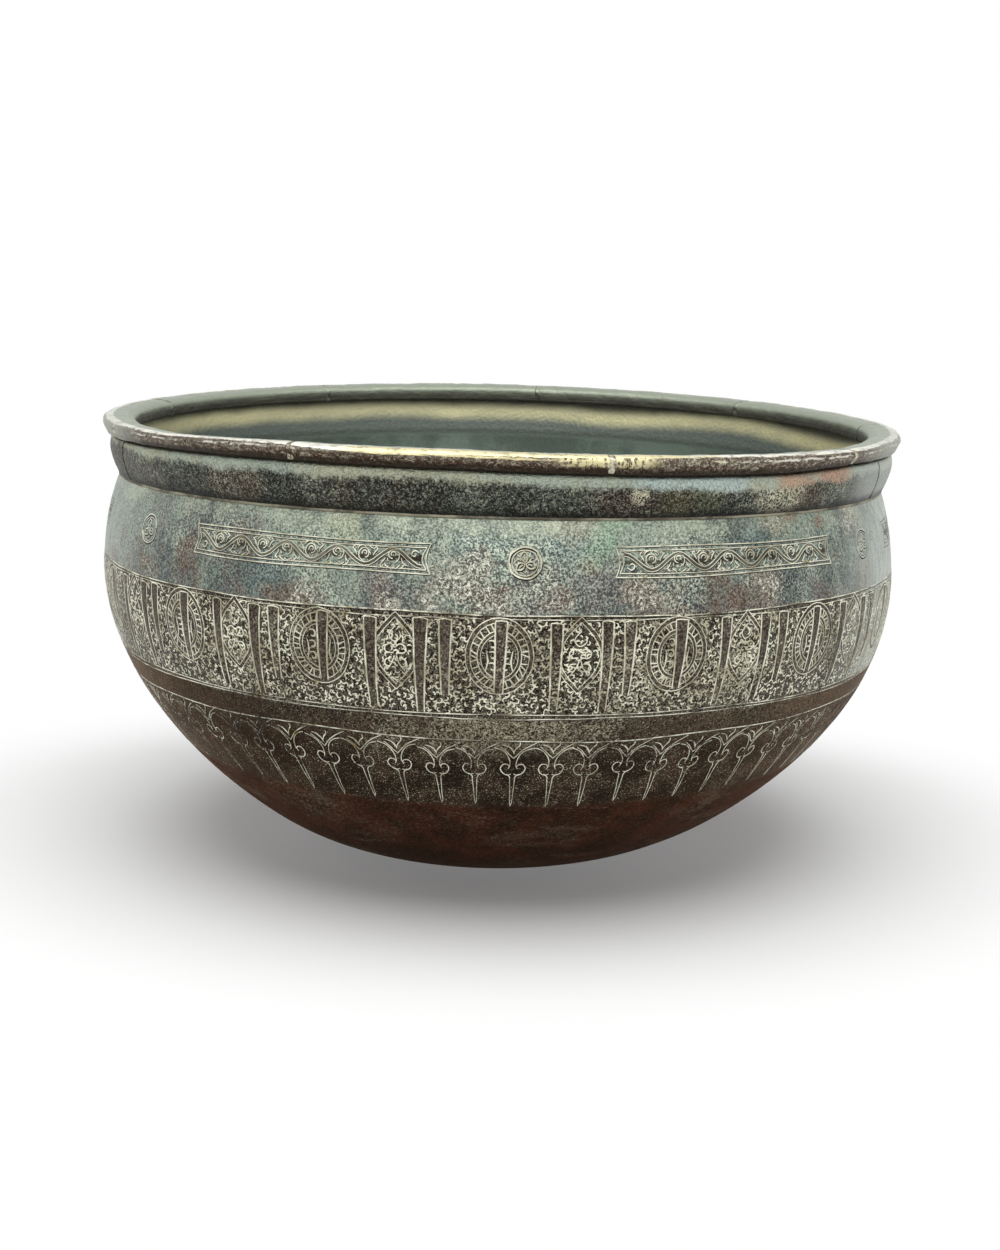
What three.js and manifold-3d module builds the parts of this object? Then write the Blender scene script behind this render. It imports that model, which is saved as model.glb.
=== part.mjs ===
// A deep round-bottomed bowl of copper alloy, of the kind made in the Islamic world.
// The body is raised from one sheet and drawn in to a flared neck. A half-round moulding, the collar,
// is bent round the neck in three strips, and the edge of the sheet is capped by a heavy brass lip,
// soldered on in nine curved bars. Soft solder fills every butt joint and runs under the collar.
// Sizes are in millimetres. The origin is the middle of the base, +Z is up and -Y is the front.
import * as THREE from "three";
import { mergeVertices } from "three/addons/utils/BufferGeometryUtils.js";
import Module from "manifold-3d";

const wasm = await Module();
wasm.setup();

// Body: a raised sheet with a small flat to stand on
const wallThickness = 1.6;
const baseThickness = 2.4;
const baseFlatRadius = 32;
const bottomRoundness = 0.48;
const bellyRadius = 150;
const bellyHeight = 111.5;
const shoulderRise = 33.5;
const shoulderFullness = 19.5;
const neckDrawIn = 7;
const neckLedge = 1;
const neckFlare = 2;

// Collar: a half-round moulding, thickest near its top
const collarHeight = 13.75;
const collarBulge = 3.4;
const collarTopThickness = 1;
const collarShoulder = 3;
const collarSwell = 6;
const collarSeamAngles = [65, 195, 295];
const collarSeamGap = 1.4;

// Lip: a solid bar with a crowned top, channelled below to sit on the edge of the sheet
const grooveHeight = 1;
const lipHeight = 7;
const lipChannelDepth = 2;
const lipOverhangOutside = 5;
const lipOverhangInside = 5.2;
const lipFaceSlant = 1.8;
const lipRidgeInset = 3;
const lipOuterDrop = 3;
const lipInnerDrop = 2.8;
const lipFootRound = 0.8;
const lipBarCount = 9;
const firstLipJointAngle = 13.5;
const lipJointGap = 2;

// Soft solder, and the clearance that it leaves between two soldered faces
const seatGap = 0.25;
const solderRecess = 0.45;
const solderBeadLeg = 1;

// Smoothness of the turned shapes
const turnSteps = 72;
const bodyCurveSteps = 14;
const trimCurveSteps = 3;
const weldDistance = 1e-4;

// Places that follow from the sizes above
const neckRadius = bellyRadius - neckDrawIn;
const neckHeight = bellyHeight + shoulderRise;
const ledgeRadius = neckRadius + neckLedge;
const edgeOuterRadius = neckRadius + neckFlare;
const edgeInnerRadius = edgeOuterRadius - wallThickness;
const collarBottom = neckHeight + seatGap;
const collarTop = collarBottom + collarHeight;
const lipUnderside = collarTop + grooveHeight;
const edgeHeight = lipUnderside + lipChannelDepth - seatGap;
const lipOuterRadius = edgeOuterRadius + lipOverhangOutside;
const lipInnerRadius = edgeInnerRadius - lipOverhangInside;
const lipBarAngle = 360 / lipBarCount;

// Radius of the neck's outer face at a height: a straight cone from the ledge to the sheet's edge.
function neckFaceRadius(height) {
  const share = (height - neckHeight) / (edgeHeight - neckHeight);
  return neckRadius + neckFlare * share;
}

// The half section of the body, from the middle of the base up the outside and back down the inside.
// The round of the bottom runs level off the base and arrives upright at the belly, on both faces.
function bodySection() {
  const insideBelly = bellyRadius - wallThickness;
  const outsideRun = bottomRoundness * (bellyRadius - baseFlatRadius);
  const outsideRise = bottomRoundness * bellyHeight;
  const insideRun = bottomRoundness * (insideBelly - baseFlatRadius);
  const insideRise = bottomRoundness * (bellyHeight - baseThickness);
  const section = new THREE.Path();
  section.moveTo(0, 0);
  section.lineTo(baseFlatRadius, 0);
  section.bezierCurveTo(
    baseFlatRadius + outsideRun, 0,
    bellyRadius, bellyHeight - outsideRise,
    bellyRadius, bellyHeight,
  );
  section.quadraticCurveTo(bellyRadius, bellyHeight + shoulderFullness, ledgeRadius, neckHeight);
  section.lineTo(neckRadius, neckHeight);
  section.lineTo(edgeOuterRadius, edgeHeight);
  section.lineTo(edgeInnerRadius, edgeHeight);
  section.lineTo(neckRadius - wallThickness, neckHeight);
  section.quadraticCurveTo(insideBelly, bellyHeight + shoulderFullness, insideBelly, bellyHeight);
  section.bezierCurveTo(
    insideBelly, bellyHeight - insideRise,
    baseFlatRadius + insideRun, baseThickness,
    baseFlatRadius, baseThickness,
  );
  section.lineTo(0, baseThickness);
  return section.getPoints(bodyCurveSteps);
}

// The collar's section. Its back lies along the neck and its face swells out and over like a half round.
// A recess draws the face in, for the solder that fills the seams.
function collarSection(recess) {
  const footRadius = ledgeRadius - recess;
  const swellRadius = ledgeRadius + collarBulge - recess;
  const backBottom = neckFaceRadius(collarBottom) + seatGap;
  const backTop = neckFaceRadius(collarTop) + seatGap;
  const section = new THREE.Path();
  section.moveTo(backBottom, collarBottom);
  section.lineTo(footRadius, collarBottom);
  section.quadraticCurveTo(
    swellRadius, collarBottom + collarSwell,
    swellRadius, collarTop - collarShoulder,
  );
  section.quadraticCurveTo(swellRadius, collarTop, backTop + collarTopThickness, collarTop);
  section.lineTo(backTop, collarTop);
  section.lineTo(backBottom, collarBottom);
  return section.getPoints(trimCurveSteps);
}

// The lip's section: a slanting outer face, a crowned top, an upright inner face and, underneath,
// the channel that takes the sheet's edge. A recess sinks the outline, for the solder in the joints.
function lipSection(recess) {
  const outer = lipOuterRadius - recess;
  const inner = lipInnerRadius + recess;
  const top = lipUnderside + lipHeight - recess;
  const ridge = lipOuterRadius - lipRidgeInset;
  const channelTop = lipUnderside + lipChannelDepth;
  const mouthOuter = neckFaceRadius(lipUnderside) + seatGap;
  const mouthInner = neckFaceRadius(lipUnderside) - wallThickness - seatGap;
  const channelOuter = neckFaceRadius(channelTop) + seatGap;
  const channelInner = neckFaceRadius(channelTop) - wallThickness - seatGap;
  const section = new THREE.Path();
  section.moveTo(outer - lipFaceSlant, lipUnderside);
  section.lineTo(outer, top - lipOuterDrop);
  section.quadraticCurveTo(outer, top, ridge, top);
  section.quadraticCurveTo(inner, top, inner, top - lipInnerDrop);
  section.lineTo(inner, lipUnderside + lipFootRound);
  section.quadraticCurveTo(inner, lipUnderside, inner + lipFootRound, lipUnderside);
  section.lineTo(mouthInner, lipUnderside);
  section.lineTo(channelInner, channelTop);
  section.lineTo(channelOuter, channelTop);
  section.lineTo(mouthOuter, lipUnderside);
  section.lineTo(outer - lipFaceSlant, lipUnderside);
  return section.getPoints(trimCurveSteps);
}

// The bead of solder that runs out under the collar, in the corner between its face and the shoulder.
function solderBeadSection() {
  const corner = new THREE.Vector2(ledgeRadius, neckHeight + seatGap / 2);
  const upCollar = new THREE.Vector2(collarBulge, collarSwell).normalize();
  const downShoulder = new THREE.Vector2(
    bellyRadius - ledgeRadius,
    bellyHeight + shoulderFullness - neckHeight,
  ).normalize();
  const between = upCollar.clone().add(downShoulder).normalize();
  const halfAngle = Math.acos(between.dot(upCollar));
  const root = corner.addScaledVector(between, seatGap / Math.sin(halfAngle));
  const upper = root.clone().addScaledVector(upCollar, solderBeadLeg);
  const lower = root.clone().addScaledVector(downShoulder, solderBeadLeg);
  return [root, lower, upper, root.clone()];
}

// Turns a section about the upright axis. Angle 0 is the front, and angles grow towards +X.
function turned(section) {
  return new THREE.LatheGeometry(section, turnSteps).rotateX(Math.PI / 2);
}

function solidOf(geometry) {
  const bare = geometry.clone();
  bare.deleteAttribute("normal");
  bare.deleteAttribute("uv");
  const merged = mergeVertices(bare, weldDistance);
  return new wasm.Manifold(new wasm.Mesh({
    numProp: 3,
    vertProperties: merged.attributes.position.array,
    triVerts: new Uint32Array(merged.index.array),
  }));
}

function geometryOf(solid) {
  const { vertProperties, triVerts } = solid.getMesh();
  const geometry = new THREE.BufferGeometry();
  geometry.setAttribute("position", new THREE.BufferAttribute(vertProperties, 3));
  geometry.setIndex(new THREE.BufferAttribute(triVerts, 1));
  return geometry;
}

const cutterReach = bellyRadius + lipOuterRadius;
const cutterHeight = 2 * (lipUnderside + lipHeight);
const sliceStepAngle = 30;
const quarterTurn = 90;

// A tall pie slice between two angles in degrees, for cutting one piece out of a turned ring.
function slice(fromAngle, toAngle) {
  const steps = Math.ceil((toAngle - fromAngle) / sliceStepAngle);
  const outline = new THREE.Shape([new THREE.Vector2(0, 0)]);
  for (let step = 0; step <= steps; step += 1) {
    const angle = THREE.MathUtils.degToRad(fromAngle + ((toAngle - fromAngle) * step) / steps);
    outline.lineTo(cutterReach * Math.sin(angle), -cutterReach * Math.cos(angle));
  }
  return solidOf(new THREE.ExtrudeGeometry(outline, { depth: cutterHeight, bevelEnabled: false }));
}

// A tall upright slab that reaches from the axis out through the ring at one angle.
function slab(angle, width) {
  const box = new THREE.BoxGeometry(width, cutterReach, cutterHeight);
  box.translate(0, -cutterReach / 2, cutterHeight / 2);
  box.rotateZ(THREE.MathUtils.degToRad(angle));
  return solidOf(box);
}

// The piece of a ring between two butt joints, each joint cut parallel-sided and half its gap wide.
function ringPiece(ring, fromAngle, toAngle, jointGap) {
  return ring
    .intersect(slice(fromAngle, toAngle))
    .subtract(slab(fromAngle, jointGap))
    .subtract(slab(toAngle, jointGap));
}

// The solder that fills one butt joint of a ring.
function jointFill(ring, angle, jointGap) {
  return ring
    .intersect(slice(angle - quarterTurn, angle + quarterTurn))
    .intersect(slab(angle, jointGap - 2 * seatGap));
}

const tinnedCopper = new THREE.MeshStandardMaterial({ color: 0x5d5850, roughness: 0.55, metalness: 0.7 });
const wornBrass = new THREE.MeshStandardMaterial({ color: 0x7d6c4b, roughness: 0.45, metalness: 0.85 });
const softSolder = new THREE.MeshStandardMaterial({ color: 0x9a9c96, roughness: 0.6, metalness: 0.6 });

const bowl = new THREE.Group();

function addPiece(name, geometry, material, parent = bowl) {
  const piece = new THREE.Mesh(geometry, material);
  piece.name = name;
  parent.add(piece);
  return piece;
}

addPiece("bowl_body", turned(bodySection()), tinnedCopper);
addPiece("collar_solder_bead", turned(solderBeadSection()), softSolder);

// Collar strips, named for where they lie, each running on from one seam to the next
const collarRing = solidOf(turned(collarSection(0)));
const collarFillRing = solidOf(turned(collarSection(solderRecess)));
const collarStripNames = ["collar_strip_back_right", "collar_strip_back_left", "collar_strip_front"];
collarSeamAngles.forEach((seamAngle, index) => {
  const following = (index + 1) % collarSeamAngles.length;
  const nextSeam = collarSeamAngles[following] + (following === 0 ? 360 : 0);
  const strip = ringPiece(collarRing, seamAngle, nextSeam, collarSeamGap);
  addPiece(collarStripNames[index], geometryOf(strip), tinnedCopper);
  const fill = jointFill(collarFillRing, seamAngle, collarSeamGap);
  addPiece(`collar_seam_solder_${index + 1}`, geometryOf(fill), softSolder);
});

// Lip bars, all alike, each turned to its own place on the rim with the solder of the joint before it
const lipBar = geometryOf(ringPiece(solidOf(turned(lipSection(0))), 0, lipBarAngle, lipJointGap));
const lipFill = geometryOf(jointFill(solidOf(turned(lipSection(solderRecess))), 0, lipJointGap));
for (let bar = 0; bar < lipBarCount; bar += 1) {
  const place = new THREE.Group();
  place.rotation.z = THREE.MathUtils.degToRad(firstLipJointAngle + bar * lipBarAngle);
  bowl.add(place);
  addPiece(`lip_bar_${bar + 1}`, lipBar, wornBrass, place);
  addPiece(`lip_joint_solder_${bar + 1}`, lipFill, softSolder, place);
}

export default bowl;
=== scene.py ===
"""A deep, round-bottomed bowl of copper alloy with engraved bands, in Blender 4.5.

Lengths in the finished scene are metres, +Z is up and -Y is the front. The engraver's patterns are
first drawn flat in millimetres, as on paper, and then laid round the bowl.
"""
import math
import random

import bmesh
import bpy
import numpy as np
from mathutils import Matrix, Vector, noise


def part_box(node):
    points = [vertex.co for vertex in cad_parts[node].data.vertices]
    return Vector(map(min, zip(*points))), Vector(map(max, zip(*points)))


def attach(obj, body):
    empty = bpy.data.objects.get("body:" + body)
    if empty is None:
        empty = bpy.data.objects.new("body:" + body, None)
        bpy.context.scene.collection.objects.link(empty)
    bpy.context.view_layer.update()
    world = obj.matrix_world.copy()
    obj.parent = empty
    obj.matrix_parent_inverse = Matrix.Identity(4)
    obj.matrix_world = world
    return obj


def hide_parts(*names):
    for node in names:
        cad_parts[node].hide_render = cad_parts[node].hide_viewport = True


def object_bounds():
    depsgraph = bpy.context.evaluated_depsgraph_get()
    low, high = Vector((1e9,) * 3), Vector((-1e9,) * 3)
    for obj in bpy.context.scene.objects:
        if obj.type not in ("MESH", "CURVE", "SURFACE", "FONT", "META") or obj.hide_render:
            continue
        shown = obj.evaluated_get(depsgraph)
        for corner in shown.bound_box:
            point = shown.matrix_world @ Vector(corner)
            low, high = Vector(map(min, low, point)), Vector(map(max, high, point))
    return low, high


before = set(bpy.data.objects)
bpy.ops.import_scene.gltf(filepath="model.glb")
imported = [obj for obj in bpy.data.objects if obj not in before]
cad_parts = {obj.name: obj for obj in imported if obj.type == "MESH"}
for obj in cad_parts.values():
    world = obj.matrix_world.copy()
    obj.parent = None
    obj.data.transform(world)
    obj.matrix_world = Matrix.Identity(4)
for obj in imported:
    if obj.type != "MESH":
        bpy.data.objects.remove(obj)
cad_low, cad_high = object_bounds()

# The view
# The bowl is seen from just above its lip, from two and a half widths away, with the camera tipped a little.
MM = 0.001
picture_height = 1250
focal_pixels = 1958
view_distance = 0.750
view_height_over_lip = 0.0614
view_side = 0.0014
view_down = 0.1907
view_tip = 0.0255

camera_data = bpy.data.cameras.new("camera")
camera_data.lens = camera_data.sensor_width * focal_pixels / picture_height
camera = bpy.data.objects.new("camera", camera_data)
bpy.context.collection.objects.link(camera)
camera.matrix_world = (
    Matrix.Translation((view_side, -view_distance, cad_high.z + view_height_over_lip))
    @ Matrix.Rotation(math.pi / 2 - view_down, 4, "X")
    @ Matrix.Rotation(view_tip, 4, "Z")
)
bpy.context.scene.camera = camera

# Body: the sheet
# One sheet of copper alloy, raised with the hammer into a round bottom, a belly, a drawn-in shoulder and
# a flared neck. Its section is drawn once, spun round the axis, and then knocked a little out of true.
body_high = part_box("bowl_body")[1]
belly_radius = body_high.x
sheet_edge_height = body_high.z
belly_height = 111.5 * MM
base_flat_radius = 32 * MM
bottom_roundness = 0.48
neck_height = 145 * MM
neck_ledge_radius = 144 * MM
neck_radius = 143 * MM
sheet_edge_radius = 145 * MM
shoulder_fullness = 19.5 * MM
wall = 1.6 * MM
base_thickness = 2.4 * MM
turn_steps = 360
round_steps = 66
shoulder_steps = 22
neck_steps = 6


def curve_through(places, steps):
    """Even steps along the one Bezier curve that a list of control places gives, as radius and height."""
    drawn = []
    for step in range(1, steps + 1):
        t = step / steps
        layer = [Vector(place) for place in places]
        while len(layer) > 1:
            layer = [a.lerp(b, t) for a, b in zip(layer, layer[1:])]
        drawn.append(tuple(layer[0]))
    return drawn


def bottom_curve(radius, foot):
    """The round of the bottom, from the middle of the base out and up to the belly."""
    run = bottom_roundness * (radius - base_flat_radius)
    rise = bottom_roundness * (belly_height - foot)
    flat_edge = (base_flat_radius, foot)
    return [(0.0, foot), (base_flat_radius / 2, foot), flat_edge] + curve_through([
        flat_edge, (base_flat_radius + run, foot), (radius, belly_height - rise), (radius, belly_height),
    ], round_steps)


def shoulder_curve(radius, end_radius):
    """The shoulder from just above the belly in to the neck."""
    return curve_through([
        (radius, belly_height), (radius, belly_height + shoulder_fullness), (end_radius, neck_height),
    ], shoulder_steps)


def section_ring(name, places):
    """A new object whose mesh is the closed loop of a section, standing on the +X side of the axis."""
    bpy.ops.object.select_all(action="DESELECT")
    bpy.ops.mesh.primitive_circle_add(vertices=len(places), location=(0, 0, 0))
    ring = bpy.context.active_object
    ring.name = name
    for vertex, (radius, height) in zip(ring.data.vertices, places):
        vertex.co = (radius, 0, height)
    return ring


def spin_section(ring, steps, from_angle=0.0, to_angle=2 * math.pi):
    """Spins a section about the upright axis, from one angle towards +X to another, and closes its ends."""
    ring.data.transform(Matrix.Rotation(from_angle - math.pi / 2, 4, "Z"))
    bpy.ops.object.mode_set(mode="EDIT")
    bpy.ops.mesh.select_all(action="SELECT")
    bpy.ops.mesh.spin(steps=steps, angle=to_angle - from_angle, center=(0, 0, 0), axis=(0, 0, -1))
    bpy.ops.mesh.select_all(action="SELECT")
    bpy.ops.mesh.remove_doubles(threshold=1e-6)
    bpy.ops.mesh.fill_holes(sides=0)
    bpy.ops.mesh.select_all(action="SELECT")
    bpy.ops.mesh.normals_make_consistent(inside=False)
    bpy.ops.object.mode_set(mode="OBJECT")


outside_places = bottom_curve(belly_radius, 0.0) + shoulder_curve(belly_radius, neck_ledge_radius)
neck_foot = (neck_radius, neck_height)
sheet_edge = (sheet_edge_radius, sheet_edge_height)
inner_edge = (sheet_edge_radius - wall, sheet_edge_height)
inner_neck = (neck_radius - wall, neck_height)
inside_places = bottom_curve(belly_radius - wall, base_thickness)
inside_places += shoulder_curve(belly_radius - wall, neck_radius - wall)[:-1]
section = outside_places + [neck_foot] + curve_through([neck_foot, sheet_edge], neck_steps)
section += [inner_edge] + curve_through([inner_edge, inner_neck], neck_steps) + inside_places[::-1]

body = section_ring("raised_body", section)
bpy.ops.object.mode_set(mode="EDIT")
body_edit = bmesh.from_edit_mesh(body.data)
axis_edges = [edge for edge in body_edit.edges if all(vertex.co.x < 1e-7 for vertex in edge.verts)]
bmesh.ops.delete(body_edit, geom=axis_edges, context="EDGES_FACES")
bmesh.update_edit_mesh(body.data)
bpy.ops.object.mode_set(mode="OBJECT")
spin_section(body, turn_steps)

# Body: the hammer
# The finished bowl is not quite round. The lip stands lower at the sides than at the front and back, the
# bottom has settled to one side, and the wall has shallow dents. Every piece is moved by the same amounts.
rim_sway = 1.1 * MM
wall_sway = 0.35 * MM
foot_shift = 2.2 * MM
foot_shift_height = 50 * MM
sway_start = 0.3
sway_end = 1.2
stiff_radius = 60 * MM
shoulder_dents = [
    (math.radians(92), 134 * MM, 60 * MM, 1.6 * MM),
    (math.radians(-92), 134 * MM, 50 * MM, 0.9 * MM),
]
side_bulge = (math.radians(90), 54 * MM, 60 * MM, -4.4 * MM)
foot_fullness = 1.5 * MM
foot_round_height = 10 * MM
collar_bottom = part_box("collar_strip_front")[0].z
lip_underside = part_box("lip_bar_5")[0].z
lip_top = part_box("lip_bar_5")[1].z
wear_angles = [-180, -80, -65, -50, -30, -5, 5, 20, 40, 55, 70, 90, 180]
crown_wear = [0.0, 0.3, 0.9, 1.4, 0.3, 0.4, 0.8, 1.2, 1.5, 1.6, 0.6, 0.0, 0.0]
edge_rise = [0.3, 0.3, 0.6, 1.1, 1.5, 1.3, 0.7, -0.1, -0.4, 0.7, 0.5, 0.3, 0.3]
dent_count = 46
dent_depth = 0.5 * MM
dent_fade = 12 * MM
hammer = random.Random(11)
dents = shoulder_dents + [side_bulge] + [
    (
        hammer.uniform(0, 2 * math.pi),
        hammer.uniform(0.1, 1.15) * belly_height,
        hammer.uniform(16, 30) * MM,
        hammer.uniform(-0.4, 1.0) * dent_depth,
    )
    for _ in range(dent_count)
]


def knock(points):
    """Moves an array of points as the hammer and the years have moved the metal there."""
    x, y, z = points.T
    radius = np.hypot(x, y)
    angle = np.arctan2(x, -y)
    share = np.clip(z / neck_height, 0, sway_end)
    moved_in = -wall_sway * share * (np.sin(2 * angle + 0.8) + 0.6 * np.sin(3 * angle + 2.0))
    for dent_angle, dent_height, reach, depth in dents:
        turn = np.mod(angle - dent_angle + math.pi, 2 * math.pi) - math.pi
        away = ((turn * np.maximum(radius, reach)) ** 2 + (z - dent_height) ** 2) / reach ** 2
        fade = np.clip((neck_height - z) / dent_fade, 0, 1)
        moved_in += depth * np.exp(-3 * away) * fade
    moved_in -= foot_fullness * np.exp(-((z - foot_round_height) / foot_round_height) ** 2)
    kept = 1 - moved_in * np.minimum(1, radius / stiff_radius) / np.maximum(radius, 1e-6)
    settled = foot_shift * np.clip(1 - z / foot_shift_height, 0, 1) ** 2
    rise = np.clip(z / neck_height - sway_start, 0, 1 - sway_start) / (1 - sway_start)
    lifted = rim_sway * rise ** 1.5 * (np.cos(2 * angle) - 1)
    to_edge = np.clip((z - collar_bottom) / (lip_underside - collar_bottom), 0, 1)
    to_crown = np.clip((z - lip_underside) / (lip_top - lip_underside), 0, 1)
    lifted += np.interp(np.degrees(angle), wear_angles, edge_rise) * MM * to_edge * (1 - to_crown)
    lifted -= np.interp(np.degrees(angle), wear_angles, crown_wear) * MM * to_crown
    return np.stack([x * kept - settled, y * kept, z + lifted], axis=1)


def get_points(piece):
    flat = np.zeros(len(piece.data.vertices) * 3)
    piece.data.vertices.foreach_get("co", flat)
    return flat.reshape(-1, 3)


def set_points(piece, points):
    piece.data.vertices.foreach_set("co", points.ravel())
    piece.data.update()


def keep_drawn_places(piece):
    """Keeps where a piece was drawn, as radius and height, for patterns that follow the knocked metal."""
    x, y, z = get_points(piece).T
    drawn = piece.data.attributes.new("drawn", "FLOAT_VECTOR", "POINT")
    drawn.data.foreach_set("vector", np.stack([np.hypot(x, y), 0 * y, z], axis=1).ravel())


keep_drawn_places(body)
set_points(body, knock(get_points(body)))
bpy.ops.object.shade_smooth_by_angle(angle=math.radians(40))


# Body: the patina
# Outside, the shoulder keeps a grey-green skin of tin and tarnish, mottled with slate, brown and verdigris.
# The bands below it are brown, and the bottom is a smooth red-brown from years of fire and hands. The
# shoulder and bands carry a painted pale sheen towards both sides, and the wall below them painted shade on
# the right.
class Wire:
    """One socket in a material. Sums of wires add Math nodes, and node() adds any other node."""

    def __init__(self, tree, socket=None):
        self.tree = tree
        self.socket = socket

    def node(self, kind, settings=None, values=None, output=0):
        """Adds a node, makes its settings, then sets or links its sockets, and gives one output."""
        made = self.tree.nodes.new("ShaderNode" + kind)
        for name, value in (settings or {}).items():
            if name == "stops":
                while len(made.color_ramp.elements) < len(value):
                    made.color_ramp.elements.new(0.5)
                for element, (place, tint) in zip(made.color_ramp.elements, value):
                    element.position = place
                    element.color = (*tint, 1)
            else:
                setattr(made, name, value)
        for name, value in (values or {}).items():
            if isinstance(value, Wire):
                self.tree.links.new(value.socket, made.inputs[name])
            elif isinstance(value, tuple) and made.inputs[name].type == "RGBA":
                made.inputs[name].default_value = (*value, 1)
            else:
                made.inputs[name].default_value = value
        return Wire(self.tree, made.outputs[output])

    def sum(self, operation, first, second):
        return self.node("Math", {"operation": operation}, {0: first, 1: second})

    def __add__(self, other):
        return self.sum("ADD", self, other)

    def __radd__(self, other):
        return self.sum("ADD", other, self)

    def __sub__(self, other):
        return self.sum("SUBTRACT", self, other)

    def __rsub__(self, other):
        return self.sum("SUBTRACT", other, self)

    def __mul__(self, other):
        return self.sum("MULTIPLY", self, other)

    def __rmul__(self, other):
        return self.sum("MULTIPLY", other, self)

    def __abs__(self):
        return self.sum("ABSOLUTE", self, 0.0)

    def noise(self, scale, detail=3.0, roughness=0.55, distortion=0.0):
        """Noise read at this wire's place, from 0 to 1 and mostly near 0.5."""
        return self.node("TexNoise", None, {
            "Vector": self, "Scale": scale, "Detail": detail,
            "Roughness": roughness, "Distortion": distortion,
        })

    def grime(self, scale):
        """Cloudy noise with ragged edges and fine grain in it."""
        return self.noise(scale, 9.0, 0.72, 0.3)

    def hairs(self, scale, width, distortion=0.8):
        """Fine wandering lines, 1 on a line and 0 off it, where a noise crosses its middle."""
        return 1 - abs(self.noise(scale, 2.0, 0.5, distortion) - 0.5).rises(0.0, width)

    def nicks(self, scale, width, distortion):
        """Fine wandering lines, broken into short strokes."""
        return self.hairs(scale, width, distortion) * self.noise(scale * 1.5, 2.0, 0.5).rises(0.46, 0.54)

    def rises(self, low, high):
        """0 below low, 1 above high, and smooth between."""
        return self.node("MapRange", {"interpolation_type": "SMOOTHSTEP", "clamp": True}, {
            "Value": self, "From Min": low, "From Max": high,
        })

    def falls(self, low, high):
        """1 below low, 0 above high, and smooth between."""
        return 1 - self.rises(low, high)

    def over(self, under, tint):
        """Lays one colour over another, with this wire as the mask."""
        return self.node("Mix", {"data_type": "RGBA", "clamp_factor": True}, {0: self, 6: under, 7: tint}, 2)

    def stretched(self, x, y, z):
        """This wire's place, scaled along each axis."""
        return self.node("VectorMath", {"operation": "MULTIPLY"}, {0: self, 1: (x, y, z)})

    def moved(self, x, y, z):
        """This wire's place, moved along each axis."""
        return self.node("VectorMath", {"operation": "ADD"}, {0: self, 1: (x, y, z)})

    def along(self, axis):
        """How far this wire's place lies along X, Y or Z."""
        return self.node("SeparateXYZ", None, {0: self}, axis)

    def drawn(self, axis):
        """The radius, X, or the height, Z, at which this part of a piece was drawn before it was knocked."""
        return self.node("Attribute", {"attribute_name": "drawn"}, None, "Vector").along(axis)

    def length(self):
        """How far this wire's place is from the origin."""
        return self.node("VectorMath", {"operation": "LENGTH"}, {0: self}, "Value")

    def near(self, place, reach):
        """1 at a place, and 0 further from it than its reach."""
        return self.moved(*(-part for part in place)).length().falls(0, reach)

    def ends_in(self, kind):
        """Makes this wire the surface that an output node shows."""
        output = self.tree.nodes.new("ShaderNode" + kind)
        self.tree.links.new(self.socket, output.inputs["Surface"])


def colour(red, green, blue):
    """The light that a colour stands for, when it is read off a screen from 0 to 255."""
    shares = [value / 255 for value in (red, green, blue)]
    return tuple(s / 12.92 if s <= 0.04045 else ((s + 0.055) / 1.055) ** 2.4 for s in shares)


def new_finish(name):
    """An empty material, and the object coordinates in it."""
    material = bpy.data.materials.new(name)
    material.use_nodes = True
    material.node_tree.nodes.clear()
    return material, Wire(material.node_tree).node("TexCoord", None, None, "Object")


def close_finish(place, base, roughness, metallic, relief, depth, edge_tint=(1.0, 1.0, 1.0)):
    """Ends a material in one surface, whose relief is a height from 0 to 1 that stands this deep."""
    bump = place.node("Bump", None, {"Height": relief, "Strength": 1.0, "Distance": depth})
    shader = place.node("BsdfPrincipled", None, {
        "Base Color": base, "Roughness": roughness, "Metallic": metallic, "Normal": bump,
        "Specular Tint": edge_tint,
    })
    shader.ends_in("OutputMaterial")


tin_grey = colour(137, 150, 138)
tin_slate = colour(92, 103, 101)
tin_pale = colour(212, 221, 200)
tin_nick = colour(240, 240, 222)
tarnish_brown = colour(112, 98, 86)
tarnish_purple = colour(112, 98, 100)
tarnish_and_shade_black = colour(52, 52, 50)
band_brown = colour(44, 34, 27)
band_grey = colour(62, 53, 44)
chalk = colour(214, 210, 184)
plain_brown = colour(72, 58, 47)
soot_and_shade_brown = colour(38, 31, 26)
fire_brown = colour(44, 26, 19)
fire_red = colour(80, 42, 29)
fire_and_shade_dark = colour(26, 18, 14)
pit_black = colour(24, 20, 17)
neck_painted_fill = colour(84, 76, 66)
painted_side_sheen = colour(190, 197, 189)
neck_pale = colour(182, 188, 166)
fire_smudge = colour(88, 70, 61)
dust = colour(126, 116, 98)
crust_ochre = colour(120, 110, 84)

fire_line = 46 * MM
band_bottom = 80.9 * MM
band_top = 115.5 * MM
wall_radii, wall_heights = np.array(outside_places[3:]).T
wall_slopes = np.gradient(wall_radii, wall_heights)


def place_at(radius, angle, height):
    """The place at a radius, an angle in degrees from the front, and a height."""
    return radius * math.sin(math.radians(angle)), -radius * math.cos(math.radians(angle)), height


def on_wall(angle, height):
    """The place on the outside of the wall at an angle in degrees and a height in millimetres."""
    return place_at(float(np.interp(height * MM, wall_heights, wall_radii)), angle, height * MM)


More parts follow.
